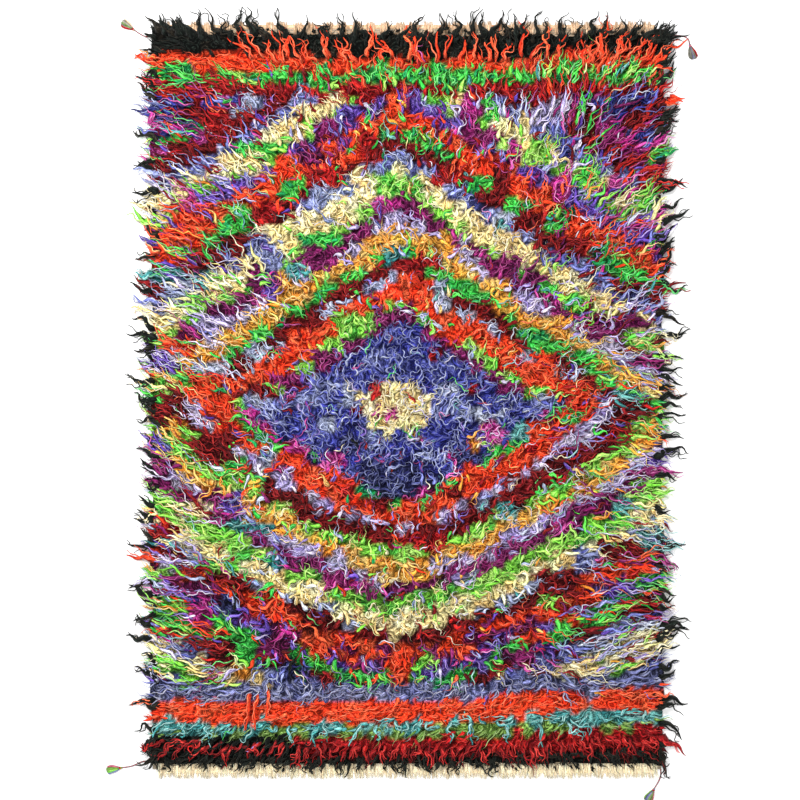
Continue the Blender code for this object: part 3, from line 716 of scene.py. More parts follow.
def tube_mesh(name, paths, radii, colours, flatness=1.0, sides=3):
    """One joined mesh of closed tubes that taper to a point, with their colours darkened towards the root as
    painted shade, and a place each on a map.
    """
    count, points, _ = paths.shape
    rings = points - 1
    floor_clear = radii * 0.55 * flatness
    paths[:, :, 2] = np.maximum(paths[:, :, 2], floor_clear)
    forward = np.gradient(paths, axis=1)
    forward /= np.linalg.norm(forward, axis=2, keepdims=True) + 1e-12
    sideways = np.cross(forward, np.array([0.0, 0.0, 1.0]))
    sideways /= np.linalg.norm(sideways, axis=2, keepdims=True) + 1e-12
    lift = np.cross(sideways, forward)
    corner = math.pi / 2 + TAU * np.arange(sides) / sides
    around = (
        np.cos(corner)[None, None, :, None] * sideways[:, :rings, None, :]
        + np.sin(corner)[None, None, :, None] * lift[:, :rings, None, :] * flatness
    )
    ring_points = paths[:, :rings, None, :] + radii[:, :rings, None, None] * around
    each = rings * sides + 1
    coordinates = np.concatenate([ring_points.reshape(count, rings * sides, 3), paths[:, -1:, :]], axis=1)

    corners = []
    sizes = []
    places = []
    for ring in range(rings - 1):
        for side in range(sides):
            a = ring * sides + side
            b = ring * sides + (side + 1) % sides
            corners += [a, a + sides, b + sides, b]
            places += [(side, ring), (side, ring + 1), (side + 1, ring + 1), (side + 1, ring)]
            sizes.append(4)
    for side in range(sides):
        a = (rings - 1) * sides + side
        corners += [a, each - 1, (rings - 1) * sides + (side + 1) % sides]
        places += [(side, rings - 1), (side + 0.5, rings), (side + 1, rings - 1)]
        sizes.append(3)
    corners += list(range(sides))
    places += [(side, 0.0) for side in range(sides)]
    sizes.append(sides)

    corners = np.array(corners)
    sizes = np.array(sizes)
    all_corners = (corners[None, :] + each * np.arange(count)[:, None]).ravel()
    starts = np.concatenate([[0], np.cumsum(np.tile(sizes, count))[:-1]])
    mesh = bpy.data.meshes.new(name)
    mesh.vertices.add(count * each)
    mesh.vertices.foreach_set("co", coordinates.ravel())
    mesh.loops.add(len(all_corners))
    mesh.loops.foreach_set("vertex_index", all_corners)
    mesh.polygons.add(len(starts))
    mesh.polygons.foreach_set("loop_start", starts)
    mesh.update(calc_edges=True)
    mesh.shade_smooth()

    along = np.concatenate([np.repeat(np.linspace(0.0, 1.0, rings), sides), [1.0]])
    # Painted shade: each tube's colour darkens towards its root, down in the pile.
    depth = 0.55 + 0.45 * ease(along / 0.35)
    tint = np.ones((count, each, 4))
    tint[:, :, :3] = colours[:, None, :] * depth[None, :, None]
    mesh.attributes.new("yarn", "FLOAT_COLOR", "POINT").data.foreach_set("color", tint.ravel())

    places = np.array(places, float)
    cells = math.ceil(math.sqrt(count))
    cell = np.stack([np.arange(count) % cells, np.arange(count) // cells], axis=1)
    within = 0.06 + 0.88 * places / np.array([sides, rings])
    atlas = (cell[:, None, :] + within[None, :, :]) / cells
    mesh.uv_layers.new(name="OFBake").uv.foreach_set("vector", atlas.ravel())
    run = np.linalg.norm(np.diff(paths, axis=1), axis=2).sum(axis=1)
    offset = np.random.default_rng(count).random(count)
    spun = np.empty((count, len(places), 2))
    spun[:, :, 0] = places[None, :, 0] / sides + 7.0 * offset[:, None]
    spun[:, :, 1] = places[None, :, 1] / rings * run[:, None] + 3.0 * offset[:, None]
    mesh.uv_layers.new(name="Spun").uv.foreach_set("vector", spun.ravel())
    return mesh


def add_piece(name, mesh, material, node):
    """Puts a mesh in the scene as a piece that replaces a solid of the part."""
    mesh.materials.clear()
    mesh.materials.append(material)
    piece = bpy.data.objects.new(name, mesh)
    bpy.context.scene.collection.objects.link(piece)
    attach(piece, "root")
    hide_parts(node)
    return piece


class Nodes:
    """Short hand for building a node tree."""

    def __init__(self, material):
        self.tree = material.node_tree
        self.shader = self.tree.nodes["Principled BSDF"]

    def add(self, kind, inputs=(), **settings):
        """A node of this kind, with its inputs linked or set."""
        node = self.tree.nodes.new("ShaderNode" + kind)
        for key, value in settings.items():
            setattr(node, key, value)
        for key, value in dict(inputs).items():
            if isinstance(value, bpy.types.NodeSocket):
                self.tree.links.new(value, node.inputs[key])
            else:
                node.inputs[key].default_value = value
        return node

    def math(self, operation, *values):
        """The result of an operation on up to three values."""
        return self.add("Math", dict(enumerate(values)), operation=operation).outputs["Value"]

    def remap(self, value, low, high, to_low, to_high):
        """The value, moved from one range to another."""
        ranges = {"Value": value, "From Min": low, "From Max": high, "To Min": to_low, "To Max": to_high}
        return self.add("MapRange", ranges).outputs["Result"]

    def lit(self, colour, light):
        """The colour, as much lighter or darker as the light says."""
        return self.add("VectorMath", {0: colour, "Scale": light}, operation="SCALE").outputs["Vector"]

    def yarn_and_place(self):
        """The mesh's own colour, and the place on the piece."""
        colour = self.add("Attribute", attribute_name="yarn").outputs["Color"]
        return colour, self.add("TexCoord").outputs["Object"]

    def surface(self, colour, height, strength, depth):
        """Gives the shader its colour, and bumps of this depth."""
        bump = self.add("Bump", {"Height": height, "Strength": strength, "Distance": depth})
        self.tree.links.new(bump.outputs["Normal"], self.shader.inputs["Normal"])
        self.tree.links.new(colour, self.shader.inputs["Base Color"])


def new_material(name, roughness, sheen):
    """A dull material and its nodes."""
    material = bpy.data.materials.new(name)
    material.use_nodes = True
    nodes = Nodes(material)
    for key, value in (
        ("Roughness", roughness),
        ("Sheen Weight", sheen),
        ("Sheen Roughness", SHEEN_ROUGHNESS),
        ("Specular IOR Level", SPECULAR),
    ):
        nodes.shader.inputs[key].default_value = value
    return material, nodes


def curled_fibres(nodes, place, scale, turns):
    """Fine meandering lines, as of thin curls matted together: contours of a smooth noise."""
    hills = nodes.add("TexNoise", {"Vector": place, "Scale": scale, "Detail": 0.0}).outputs["Fac"]
    return nodes.math("SINE", nodes.math("MULTIPLY", hills, turns * TAU))


def painted_highlights(nodes, colour, share):
    """The colour with part of its fibres paler and less saturated: a painted highlight, as where light
    catches fibres that stand out of the strand.
    """
    pale = nodes.add("Gamma", {"Color": colour, "Gamma": HIGHLIGHT_GAMMA}).outputs["Color"]
    mixed = nodes.add("Mix", {"Factor": share, "A": colour, "B": pale}, data_type="RGBA")
    return mixed.outputs["Result"]


def wool_material(name, sheen=0.03, mottle=0.80, curled=0.14):
    """Spun wool: the strand's own colour, streaked along its twist and matted with fine curls of fibre, with
    a painted highlight where its streaks peak.
    """
    material, nodes = new_material(name, 0.80, sheen)
    colour, place = nodes.yarn_and_place()
    spun = nodes.add("UVMap", uv_map="Spun").outputs["UV"]
    parts = nodes.add("SeparateXYZ", {"Vector": spun}).outputs
    sway = nodes.math("SINE", nodes.math("MULTIPLY", parts["Y"], TAU / TWIST_LENGTH))
    waved = nodes.math("MULTIPLY_ADD", sway, 0.65, nodes.math("MULTIPLY", parts["X"], STREAKS_AROUND))
    along = nodes.math("MULTIPLY", parts["Y"], STREAKS_ALONG)
    laid = nodes.add("CombineXYZ", {"X": waved, "Y": along}).outputs["Vector"]
    streaks = nodes.add("TexNoise", {"Vector": laid, "Scale": 1.0, "Detail": 2.0, "Distortion": 0.7})
    streaks = streaks.outputs["Fac"]
    lines = curled_fibres(nodes, place, 75.0, 7.0)
    streaked = nodes.remap(streaks, 0.3, 0.7, 1.0 - mottle, 1.0 + 0.7 * mottle)
    light = nodes.math("MULTIPLY_ADD", lines, curled, streaked)
    # Painted highlight: where the streaks peak, the colour turns paler and less saturated.
    highlight_share = nodes.remap(streaks, 0.50, 0.66, 0.0, 0.55)
    wool = painted_highlights(nodes, nodes.lit(colour, light), highlight_share)
    nodes.surface(wool, nodes.math("MULTIPLY_ADD", lines, 0.35, streaks), 0.6, 0.0010)
    return material


def foot_material():
    """The crowded foot of the pile: curls matted together, with painted shade between them and a painted
    highlight on their crests.
    """
    material, nodes = new_material("matted_wool", 0.85, 0.0)
    colour, place = nodes.yarn_and_place()
    lines = curled_fibres(nodes, place, 40.0, 5.5)
    height = nodes.math("MULTIPLY_ADD", curled_fibres(nodes, place, 84.0, 6.0), 0.7, lines)
    # Painted shade and light: the colour goes dark in the troughs between the curl lines and light on their
    # crests.
    light = nodes.remap(height, -1.2, 1.3, 0.16, 1.25)
    highlight_share = nodes.remap(height, 0.75, 1.5, 0.0, 0.8)
    nodes.surface(painted_highlights(nodes, nodes.lit(colour, light), highlight_share), height, 0.8, 0.0020)
    return material


def weave_material():
    """The ground weave: undyed wefts over warps, with the knots' coloured backs between them."""
    material, nodes = new_material("ground_weave", 0.85, 0.1)
    colour, place = nodes.yarn_and_place()
    wefts, warps = (
        nodes.add(
            "TexWave",
            {"Vector": place, "Scale": scale, "Distortion": bend, "Detail": 2.0, "Detail Scale": 4.0},
            wave_type="BANDS",
            bands_direction=direction,
        ).outputs["Fac"]
        for scale, bend, direction in ((60.0, 1.2, "Y"), (95.0, 0.8, "X"))
    )
    flecks = nodes.add("TexNoise", {"Vector": place, "Scale": 380.0, "Detail": 3.0}).outputs["Fac"]
    wool = nodes.remap(flecks, 0.3, 0.7, 0.65, 1.15)
    rows = nodes.remap(wefts, 0.55, 0.75, 0.0, 1.0)
    ground = nodes.add("Mix", {"Factor": rows, "A": WEFT_COLOUR, "B": colour}, data_type="RGBA")
    ground = nodes.lit(ground.outputs["Result"], wool)
    nodes.surface(ground, nodes.math("ADD", wefts, warps), 0.8, 0.0012)
    return material


def other_yarn(rng, yarn):
    """One of the yarns that turn up in place of each."""
    pick = rng.random(len(yarn))
    swapped = yarn.copy()
    for name, others in COMPANIONS.items():
        here = yarn == CODE[name]
        swapped[here] = codes(others)[(pick[here] * len(others)).astype(int)]
    return swapped


def knots(rng):
    """Roots of the knots in rows over the field, with their lie and unruliness, and which of them stray from
    the design or sit by the selvedge.
    """
    rows = round(FIELD_LENGTH / ROW_PITCH)
    columns = round(FIELD_WIDTH / KNOT_PITCH)
    row, column = np.meshgrid(np.arange(rows), np.arange(columns), indexing="ij")
    row = row.ravel()
    column = column.ravel()
    x = ((column + 0.5 + 0.5 * (row % 2 - 0.5)) / columns - 0.5) * (FIELD_WIDTH - 0.010)
    y = ((row + 0.5) / rows - 0.5) * (FIELD_LENGTH - 0.006)
    x = x + rng.uniform(-0.38, 0.38, len(x)) * KNOT_PITCH
    y = y + rng.uniform(-0.34, 0.34, len(y)) * ROW_PITCH
    heading, unruly = lie_at(x, y)
    px, py = rug_to_photo(x, y)
    share = STRAY_KNOTS[0] + (STRAY_KNOTS[1] - STRAY_KNOTS[0]) * far_out(px, py)
    share = share + COMBED_STRAYS * combed(px) + STRAY_BELOW * ease((py - 440.0) / 60.0)
    share = share * may_stray(py)
    clump = 0.5 + 0.5 * lumps(px, py, 11.0, 21)
    strayed = rng.random(len(x)) * 0.5 + clump * 0.5 > 1.0 - share ** 0.75 * 0.80
    selvedge = (FIELD_WIDTH / 2 - np.abs(x) < 0.014) & (rng.random(len(x)) < SELVEDGE_LOCKS)
    return x, y, heading, unruly, strayed, selvedge


def lying_yarn(rng, paths, strayed, selvedge):
    """The yarn that the design has where each strand lies, or another in knots that stray from it.

    By the sides, where strands are combed out long, a strand keeps the yarn of the place where it is knotted.
    """
    root = paths[:, 0, :2]
    middle = paths[:, paths.shape[1] // 2, :2]
    px, py = rug_to_photo(root[:, 0], root[:, 1])
    place = root + (middle - root) * (1.0 - 0.7 * combed(px))[:, None]
    yarn = yarn_at(place[:, 0], place[:, 1])
    outer = far_out(px, py)
    odd_share = STRAY_STRANDS[0] + (STRAY_STRANDS[1] - STRAY_STRANDS[0]) * outer
    odd_share = odd_share + COMBED_ODD * combed(px) * (outer > 0)
    odd = strayed | (rng.random(len(yarn)) < odd_share * may_stray(py))
    yarn = np.where(odd, other_yarn(rng, yarn), yarn)
    return np.where(selvedge, CODE["black"], yarn)


def fit_length(rng, x, y, heading, length):
    """Lengths, with those by the ends and sides cut so that they don't hang out over the rim."""
    north = np.abs(np.sin(heading)) * (np.sign(np.sin(heading)) == np.sign(y)) + 1e-6
    east = np.abs(np.cos(heading)) * (np.sign(np.cos(heading)) == np.sign(x)) + 1e-6
    stray = 0.010 * rng.random(len(x))
    room = np.minimum((end_line(x, y) + 0.4 * stray - np.abs(y)) / north,
                      (SIDE_LINE + side_wave(y) + stray - np.abs(x)) / east)
    px, py = rug_to_photo(x, y)
    low_stripes = (1.0 - 0.20 * flat_woven(py)) * (1.0 - 0.45 * ((py > 50) & (py < 72)))
    length = length * (1.0 + 0.75 * combed(px) * (py < 690))
    return np.minimum(length * low_stripes, np.maximum(0.013, 1.20 * room))


def tumble(rng, heading, unruly):
    """Headings, some of them turned anywhere where the pile is unruly."""
    turned = (rng.random(len(heading)) < TUMBLED) & (unruly > 0.6)
    return np.where(turned, rng.uniform(0, TAU, len(heading)), heading)


def pile_locks(rng, x, y, heading, unruly, strayed, selvedge):
    """The locks and curls of the knots all over the field."""
    of = scattered_copies(rng, len(x), LOCKS)
    count = len(of)
    px, py = rug_to_photo(x[of], y[of])
    even = 1.0 - 0.55 * flat_woven(py)
    spread = even * (1.0 - 0.45 * combed(px)) * (0.30 + 0.50 * unruly[of])
    own = heading[of] + spread * rng.uniform(-1.25, 1.25, count)
    own = tumble(rng, own, unruly[of])
    length = fit_length(rng, x[of], y[of], own, rng.uniform(0.030, 0.058, count))
    slim = 1.0 - 0.20 * ease((unruly[of] - 0.85) / 0.25) - 0.20 * combed(px) - 0.25 * (py > 750)
    curls_each = np.where(lozenge_at(px, py) < 88.0, MEDALLION_CURLS, LOCK_CURLS)
    width = rng.uniform(0.0068, 0.0150, count) * slim
    bodies, curls, lock = lock_set(
        rng,
        x[of] + rng.uniform(-0.007, 0.007, count),
        y[of] + rng.uniform(-0.008, 0.008, count),
        own,
        length,
        (0.60 * unruly[of] + 0.12) * even,
        rng.uniform(0.45, 1.0, count),
        width,
        curls_each,
        (1.15, 1.75),
        (0.066, 0.036),
        LOCK_POINTS,
    )
    yarn = lying_yarn(rng, bodies, strayed[of], selvedge[of])
    curl_yarn = yarn[lock]
    _, root_down = rug_to_photo(curls[:, 0, 0], curls[:, 0, 1])
    designed = may_stray(root_down, CURLS_FROM)
    odd = (rng.random(len(lock)) < STRAY_STRANDS[1]) & designed
    curl_yarn = np.where(odd, other_yarn(rng, curl_yarn), curl_yarn)
    pale = (rng.random(len(lock)) < PALE_CURLS) & designed
    curl_yarn = np.where(pale, codes(PALE_YARNS)[lock % len(PALE_YARNS)], curl_yarn)
    curl_radii = thickness(curls, rng.uniform(0.0011, 0.0021, len(curls)), 0.45)
    return (
        (bodies, spindle(bodies, width), shades(rng, yarn)),
        (curls, curl_radii, curl_shades(rng, curl_yarn)),
    )


def scattered_copies(rng, count, average):
    """Indices 0..count-1, each repeated so that the mean number of copies is the average."""
    whole = np.floor(average).astype(int)
    copies = whole + (rng.random(count) < average - whole)
    return np.repeat(np.arange(count), copies)


def wisps(rng, x, y, heading, length, unruly, width, yarn, curl_yarn, curls_each, taper=1.3):
    """Locks that reach out past the pile, with their curls, as one set of tubes."""
    bodies, curls, lock = lock_set(
        rng, x, y, heading, length, unruly, rng.uniform(0.9, 1.1, len(x)), width, curls_each, (0.75, 1.15),
        (0.070, 0.036), CURL_POINTS,
    )
    curl_radii = wisp(curls, rng.uniform(0.0026, 0.0052, len(curls)))
    odd = rng.random(len(lock)) < STRAY_STRANDS[0]
    fine_yarn = np.where(odd, other_yarn(rng, curl_yarn[lock]), curl_yarn[lock])
    return (
        np.concatenate([bodies, curls]),
        np.concatenate([wisp(bodies, width, taper), curl_radii]),
        np.concatenate([shades(rng, yarn), curl_shades(rng, fine_yarn)]),
    )


def reaching_locks(rng):
    """The locks of REACHING."""
    sets = []
    for name, first, last, down, start, end, count, shortest, longest, width, taper, unruly in REACHING:
        share = (np.arange(count) + rng.uniform(0.0, 1.0, count)) / count
        px = first + (last - first) * share
        py = down + rng.uniform(-4, 4, count) - (9.0 * ease((px - 470.0) / 180.0) if down > 600 else 0.0)
        x, y = photo_to_rug(px, py)
        heading = np.radians(start + (end - start) * share) + 0.22 * rng.standard_normal(count)
        yarn = np.full(count, CODE[name])
        sets.append(wisps(
            rng, x, y, heading, rng.uniform(shortest, longest, count), unruly * rng.uniform(0.6, 1.3, count),
            width * rng.uniform(0.6, 1.2, count), yarn, yarn, 1.5, taper,
        ))
    return sets


def side_locks(rng):
    """The locks that stand out over both sides, black for the most part."""
    per_side = round(FIELD_LENGTH / SIDE_LOCK_PITCH)
    sets = []
    for outward in (-1.0, 1.0):
        share = (np.arange(per_side) + rng.uniform(0.0, 1.0, per_side)) / per_side
        y = (share - 0.5) * (FIELD_LENGTH - 0.030)
        x = outward * (FIELD_WIDTH / 2 - rng.uniform(0.004, 0.026, per_side))
        inner_heading, _ = lie_at(x, y)
        straight = math.pi if outward < 0 else 0.0
        lean = (inner_heading - straight + math.pi) % TAU - math.pi
        heading = straight + 0.75 * np.clip(lean, -0.9, 0.9) + 0.30 * rng.standard_normal(per_side)
        width = rng.uniform(0.012, 0.027, per_side)
        near = yarn_at(x - outward * 0.02, y)
        _, py = rug_to_photo(x, y)
        black_share = 0.85 - 0.40 * (outward < 0) * ease((360.0 - py) / 60.0)
        yarn = np.where(rng.random(per_side) < black_share, CODE["black"], near)
        curl_yarn = np.where(rng.random(per_side) < 0.65, yarn, near)
        by_cord = (outward < 0) & (py < CORD_ROW)
        length = rng.uniform(0.046, 0.084, per_side) * (1.0 - 0.55 * by_cord)
        sets.append(wisps(
            rng, x, y, heading, length, rng.uniform(0.25, 0.75, per_side),
            width, yarn, curl_yarn, 2.2,
        ))
    return sets


def build_pile(rng, *tied):
    """All locks and curls, in joined meshes by their place along the rug."""
    bodies, curls = pile_locks(rng, *tied)
    reaching = [np.concatenate(parts) for parts in zip(*reaching_locks(rng), *side_locks(rng))]
    material = wool_material("pile_wool")
    for label, (paths, radii, colours), flatness in (
        ("pile_locks", bodies, LOCK_FLATNESS),
        ("pile_curls", curls, 1.0),
        ("reaching_locks", reaching, WISP_FLATNESS),
    ):
        pieces = math.ceil(len(paths) * (6 * (paths.shape[1] - 2) + 4) / PIECE_TRIANGLES)
        order = np.argsort(paths[:, 0, 1], kind="stable")
        for part, chosen in enumerate(np.array_split(order, pieces)):
            mesh = tube_mesh(f"{label}_{part + 1}", paths[chosen], radii[chosen], colours[chosen], flatness)
            add_piece(mesh.name, mesh, material, "shag_field")


def grid_mesh(name, x, y, z, close_below=None):
    """A grid of points as one mesh: a sheet, or a slab down to close_below."""
    columns, rows = x.shape
    top = np.stack([x, y, z], axis=2).reshape(-1, 3)
    index = np.arange(len(top)).reshape(columns, rows)
    faces = np.stack([index[:-1, :-1], index[1:, :-1], index[1:, 1:], index[:-1, 1:]], axis=2).reshape(-1, 4)
    vertices = [top]
    if close_below is not None:
        below = top.copy()
        below[:, 2] = close_below
        vertices.append(below)
        rim = np.concatenate([index[:-1, 0], index[-1, :-1], index[:0:-1, -1], index[0, :0:-1]])
        after = np.roll(rim, -1)
        under = len(top)
        walls = np.stack([rim + under, after + under, after, rim], axis=1)
        faces = np.concatenate([faces, faces[:, ::-1] + under, walls])
    mesh = bpy.data.meshes.new(name)
    mesh.from_pydata(np.concatenate(vertices).tolist(), [], faces.tolist())
    mesh.shade_smooth()
    return mesh


def paint(mesh, colours):
    """Gives each vertex its linear colour."""
    tint = np.ones((len(mesh.vertices), 4))
    tint[:, :3] = colours
    mesh.attributes.new("yarn", "FLOAT_COLOR", "POINT").data.foreach_set("color", tint.ravel())


def vertex_places(mesh):
    """Each vertex's place."""
    places = np.empty(len(mesh.vertices) * 3)
    mesh.vertices.foreach_get("co", places)
    return places.reshape(-1, 3)


def build_pile_foot(x, y, heading):
    """The crowded foot of the pile: a low dome of matted wool at each knot, painted darker between the domes
    as shade.
    """
    middles = kdtree.KDTree(len(x))
    lean_x = x + 0.010 * np.cos(heading)
    lean_y = y + 0.010 * np.sin(heading)
    for index in range(len(x)):
        middles.insert((lean_x[index], lean_y[index], 0.0), index)
    middles.balance()
    grid_x, grid_y = floor_grid(FIELD_WIDTH, FIELD_LENGTH, FOOT_STEP)
    nearest = [middles.find((gx, gy, 0.0)) for gx, gy in zip(grid_x.ravel(), grid_y.ravel())]
    knot = np.array([index for _, index, _ in nearest])
    side_shift = np.maximum(0.6 * side_wave(grid_y) - 0.003, -0.008)
    end_shift = end_line(grid_x, grid_y) - FIELD_LENGTH / 2 - 0.002
    near_side = ease((np.abs(grid_x) - FIELD_WIDTH / 2 + 0.04) / 0.04)
    near_end = ease((np.abs(grid_y) - FIELD_LENGTH / 2 + 0.04) / 0.04)
    away = np.array([distance for _, _, distance in nearest]).reshape(grid_x.shape)
    rim = np.minimum(FIELD_WIDTH / 2 - np.abs(grid_x), FIELD_LENGTH / 2 - np.abs(grid_y))
    dome = 0.36 + 0.32 * ease(1.0 - away / 0.018)
    z = GROUND_THICKNESS + 0.0004 + (dome * pile_top(grid_x, grid_y) - 0.002) * ease(rim / 0.02 + 0.15)
    foot_x = grid_x + np.sign(grid_x) * np.minimum(side_shift, 0.0) * near_side
    foot_y = grid_y + np.sign(grid_y) * np.minimum(end_shift, 0.0) * near_end
    mesh = grid_mesh("pile_foot", foot_x, foot_y, z)
    lean_yarn = yarn_at(lean_x, lean_y)
    knot_colours = shades(np.random.default_rng(5), lean_yarn, 0.06)
    knot_colours[lean_yarn == CODE["cream"]] *= 1.35
    px, down = rug_to_photo(grid_x, grid_y)
    flat = flat_woven(down) + 0.7 * ease((down - 55.0) / 4.0) * ease((71.0 - down) / 4.0)
    shade = 0.90 - 0.28 * ease((down - 540.0) / 60.0) * (1.0 - ease((down - 680.0) / 8.0)) - 0.12 * combed(px)
    # Painted shade: the foot darkens away from each knot's middle, between the domes, and is painted lighter
    # where the stripes lie flat. It also grows darker towards the sides.
    light = (shade * (0.46 + 0.58 * ease(1.2 - away / 0.016)) + 0.30 * flat) * (1.0 - 0.55 * near_side ** 2)
    paint(mesh, knot_colours[knot] * light.reshape(-1, 1))
    add_piece(mesh.name, mesh, foot_material(), "shag_field")


def build_ground():
    """The flat ground weave that the pile is knotted into."""
    x, y = floor_grid(GROUND_WIDTH, FIELD_LENGTH, GROUND_STEP)
    z = GROUND_THICKNESS + 0.0003 * lumps(x, y, 0.05, 41)
    mesh = grid_mesh("ground_weave", x, y, z, close_below=0.0)
    places = vertex_places(mesh)
    yarn = yarn_at(places[:, 0], places[:, 1])
    yarn = np.where(np.abs(places[:, 0]) > WEAVE_BLACK_FROM, CODE["black"], yarn)
    yarn = np.where(places[:, 1] > WEAVE_PLAIN_FROM, CODE["tan"], yarn)
    yarn = np.where(places[:, 1] < -WEAVE_PLAIN_FROM, CODE["ivory"], yarn)
    paint(mesh, shades(np.random.default_rng(6), yarn, 0.05) * 0.8)
    piece = add_piece(mesh.name, mesh, weave_material(), "shag_field")


def build_end(name, outward, tufts, fringe, yarn, strands, fill, frayed, seed):
    """A narrow woven strip that closes one end, with the cut warps frayed out past it in flat tufts."""
    rng = np.random.default_rng(seed)
    inner = outward * (FIELD_LENGTH / 2 + 0.0003)
    run = np.linspace(-BAND_WIDTH / 2, BAND_WIDTH / 2, BAND_POINTS[0])
    x, depth = np.meshgrid(run, np.linspace(0, BAND_DEPTH, BAND_POINTS[1]), indexing="ij")
    ribs = 0.0005 * np.sin(TAU * x / 0.006) * np.cos(TAU * depth / 0.0045)
    top = BAND_THICKNESS - 0.0008 + ribs
    strip = grid_mesh(f"{name}_weave", x, inner + outward * depth, top, close_below=0.0002)
    if outward < 0:
        strip.flip_normals()
    paint(strip, shades(rng, np.full(len(strip.vertices), CODE[yarn]), 0.06))
    pitch = BAND_WIDTH / tufts
    tuft = np.repeat(np.arange(tufts), strands)
    count = len(tuft)
    middle = (tuft + 0.5) * pitch - BAND_WIDTH / 2 + (0.07 * pitch * rng.standard_normal(tufts))[tuft]
    across = rng.uniform(-0.5, 0.5, count) * fill
    root = middle + across * pitch
    reach = BAND_DEPTH + fringe * rng.uniform(0.78, 1.0, tufts)[tuft] * rng.uniform(1.0 - frayed, 1.04, count)
    lean = (0.10 * rng.standard_normal(tufts))[tuft] + (0.04 + frayed / 4) * rng.standard_normal(count)
    lean = lean - 0.15 * across
    share = np.linspace(0.0, 1.0, FRAY_POINTS)[None, :]
    wave = 0.0010 * np.sin(TAU * (share + rng.random(count)[:, None])) * share
    paths = np.empty((count, FRAY_POINTS, 3))
    paths[:, :, 0] = root[:, None] + share * reach[:, None] * lean[:, None] + wave
    paths[:, :, 1] = inner + outward * (share * (reach[:, None] + FRAY_INSET) - FRAY_INSET)
    level = rng.uniform(0.0, 1.0, count)[:, None]
    paths[:, :, 2] = 0.0040 + 0.0010 * level - share * (0.0030 - 0.0018 * level * share)
    radii = thickness(paths, rng.uniform(0.0008, 0.0014, count) * (1.15 - frayed), 0.6)
    fray = tube_mesh(f"{name}_warps", paths, radii, shades(rng, np.full(count, CODE[yarn]), 0.09))
    material = bpy.data.materials.get("warp_wool") or wool_material("warp_wool", 0.1, 0.22, 0.12)
    add_piece(strip.name, strip, material, name)
    add_piece(fray.name, fray, material, name)


def smooth_line(route, height):
    """Points a step apart on the smooth curve through a route."""
    points = [Vector((x, y, height)) for x, y in route]
    line = []
    padded = [2 * points[0] - points[1], *points, 2 * points[-1] - points[-2]]
    for before, here, there, after in zip(padded, padded[1:], padded[2:], padded[3:]):
        steps = max(1, round((there - here).length / CORD_STEP))
        for step in range(steps):
            t = step / steps
            line.append(0.5 * (
                2 * here
                + (there - before) * t
                + (2 * before - 5 * here + 4 * there - after) * t * t
                + (3 * here - before - 3 * there + after) * t * t * t
            ))
    line.append(points[-1])
    return line


def resample(line, step):
    """The same line with points an even step apart."""
    points = np.array([tuple(point) for point in line])
    run = np.concatenate([[0.0], np.cumsum(np.linalg.norm(np.diff(points, axis=0), axis=1))])
    count = max(8, round(run[-1] / step))
    places = np.linspace(0.0, run[-1], count + 1)
    return np.stack([np.interp(places, run, points[:, axis]) for axis in range(3)], axis=1), run[-1]


def ring_mesh(name, rings, colours):
    """A closed skin over rings of points, each ring with its own colours."""
    count, sides, _ = rings.shape
    index = np.arange(count * sides).reshape(count, sides)
    after = np.roll(index, -1, axis=1)
    walls = np.stack([index[:-1], after[:-1], after[1:], index[1:]], axis=2).reshape(-1, 4).tolist()
    mesh = bpy.data.meshes.new(name)
    mesh.from_pydata(rings.reshape(-1, 3).tolist(), [], walls + [index[0, ::-1].tolist(), index[-1].tolist()])
    mesh.shade_smooth()
    paint(mesh, colours.reshape(-1, 3))
    return mesh


def build_cord(corner, material):
    """A cord of two plies twisted together, one rose and one grey, from the rim to its tassel."""
    line = smooth_line(CORNERS[corner], CORD_DIAMETER / 2)
    middle, length = resample(line, CORD_FINE_STEP)
    ahead = np.gradient(middle, axis=0)
    ahead /= np.linalg.norm(ahead, axis=1, keepdims=True)
    side = np.stack([-ahead[:, 1], ahead[:, 0], np.zeros(len(ahead))], axis=1)
    up = np.cross(ahead, side)
    angle = TAU * np.arange(CORD_SIDES) / CORD_SIDES
    run = np.linspace(0.0, length, len(middle))
    turn = angle[None, :] - TAU * run[:, None] / PLY_TURN
    radius = CORD_DIAMETER / 2 * (0.84 + 0.16 * np.cos(turn) ** 2)
    rings = middle[:, None, :] + radius[:, :, None] * (
        np.cos(angle)[None, :, None] * side[:, None, :] + np.sin(angle)[None, :, None] * up[:, None, :]
    )
    rose = linear(YARNS["rose"][1])
    grey = linear(YARNS["grey"][1])
    dark = linear(YARNS["crimson"][1])
    ply = ease(0.5 + 1.6 * np.cos(turn))[:, :, None]
    # Painted shade: the cord is darker in the grooves between its two plies.
    groove_shade = (0.55 + 0.45 * np.abs(np.cos(turn)) ** 0.5)[:, :, None]
    fade = ease(run / length * 1.4)[:, None, None]
    colours = (ply * (dark * (1 - fade) + rose * fade) + (1.0 - ply) * grey) * groove_shade
    mesh = ring_mesh(f"{corner}_twisted_cord", rings, colours)
    piece = add_piece(mesh.name, mesh, material, f"cord_{corner}")
    return piece, [tuple(point) for point in line], length


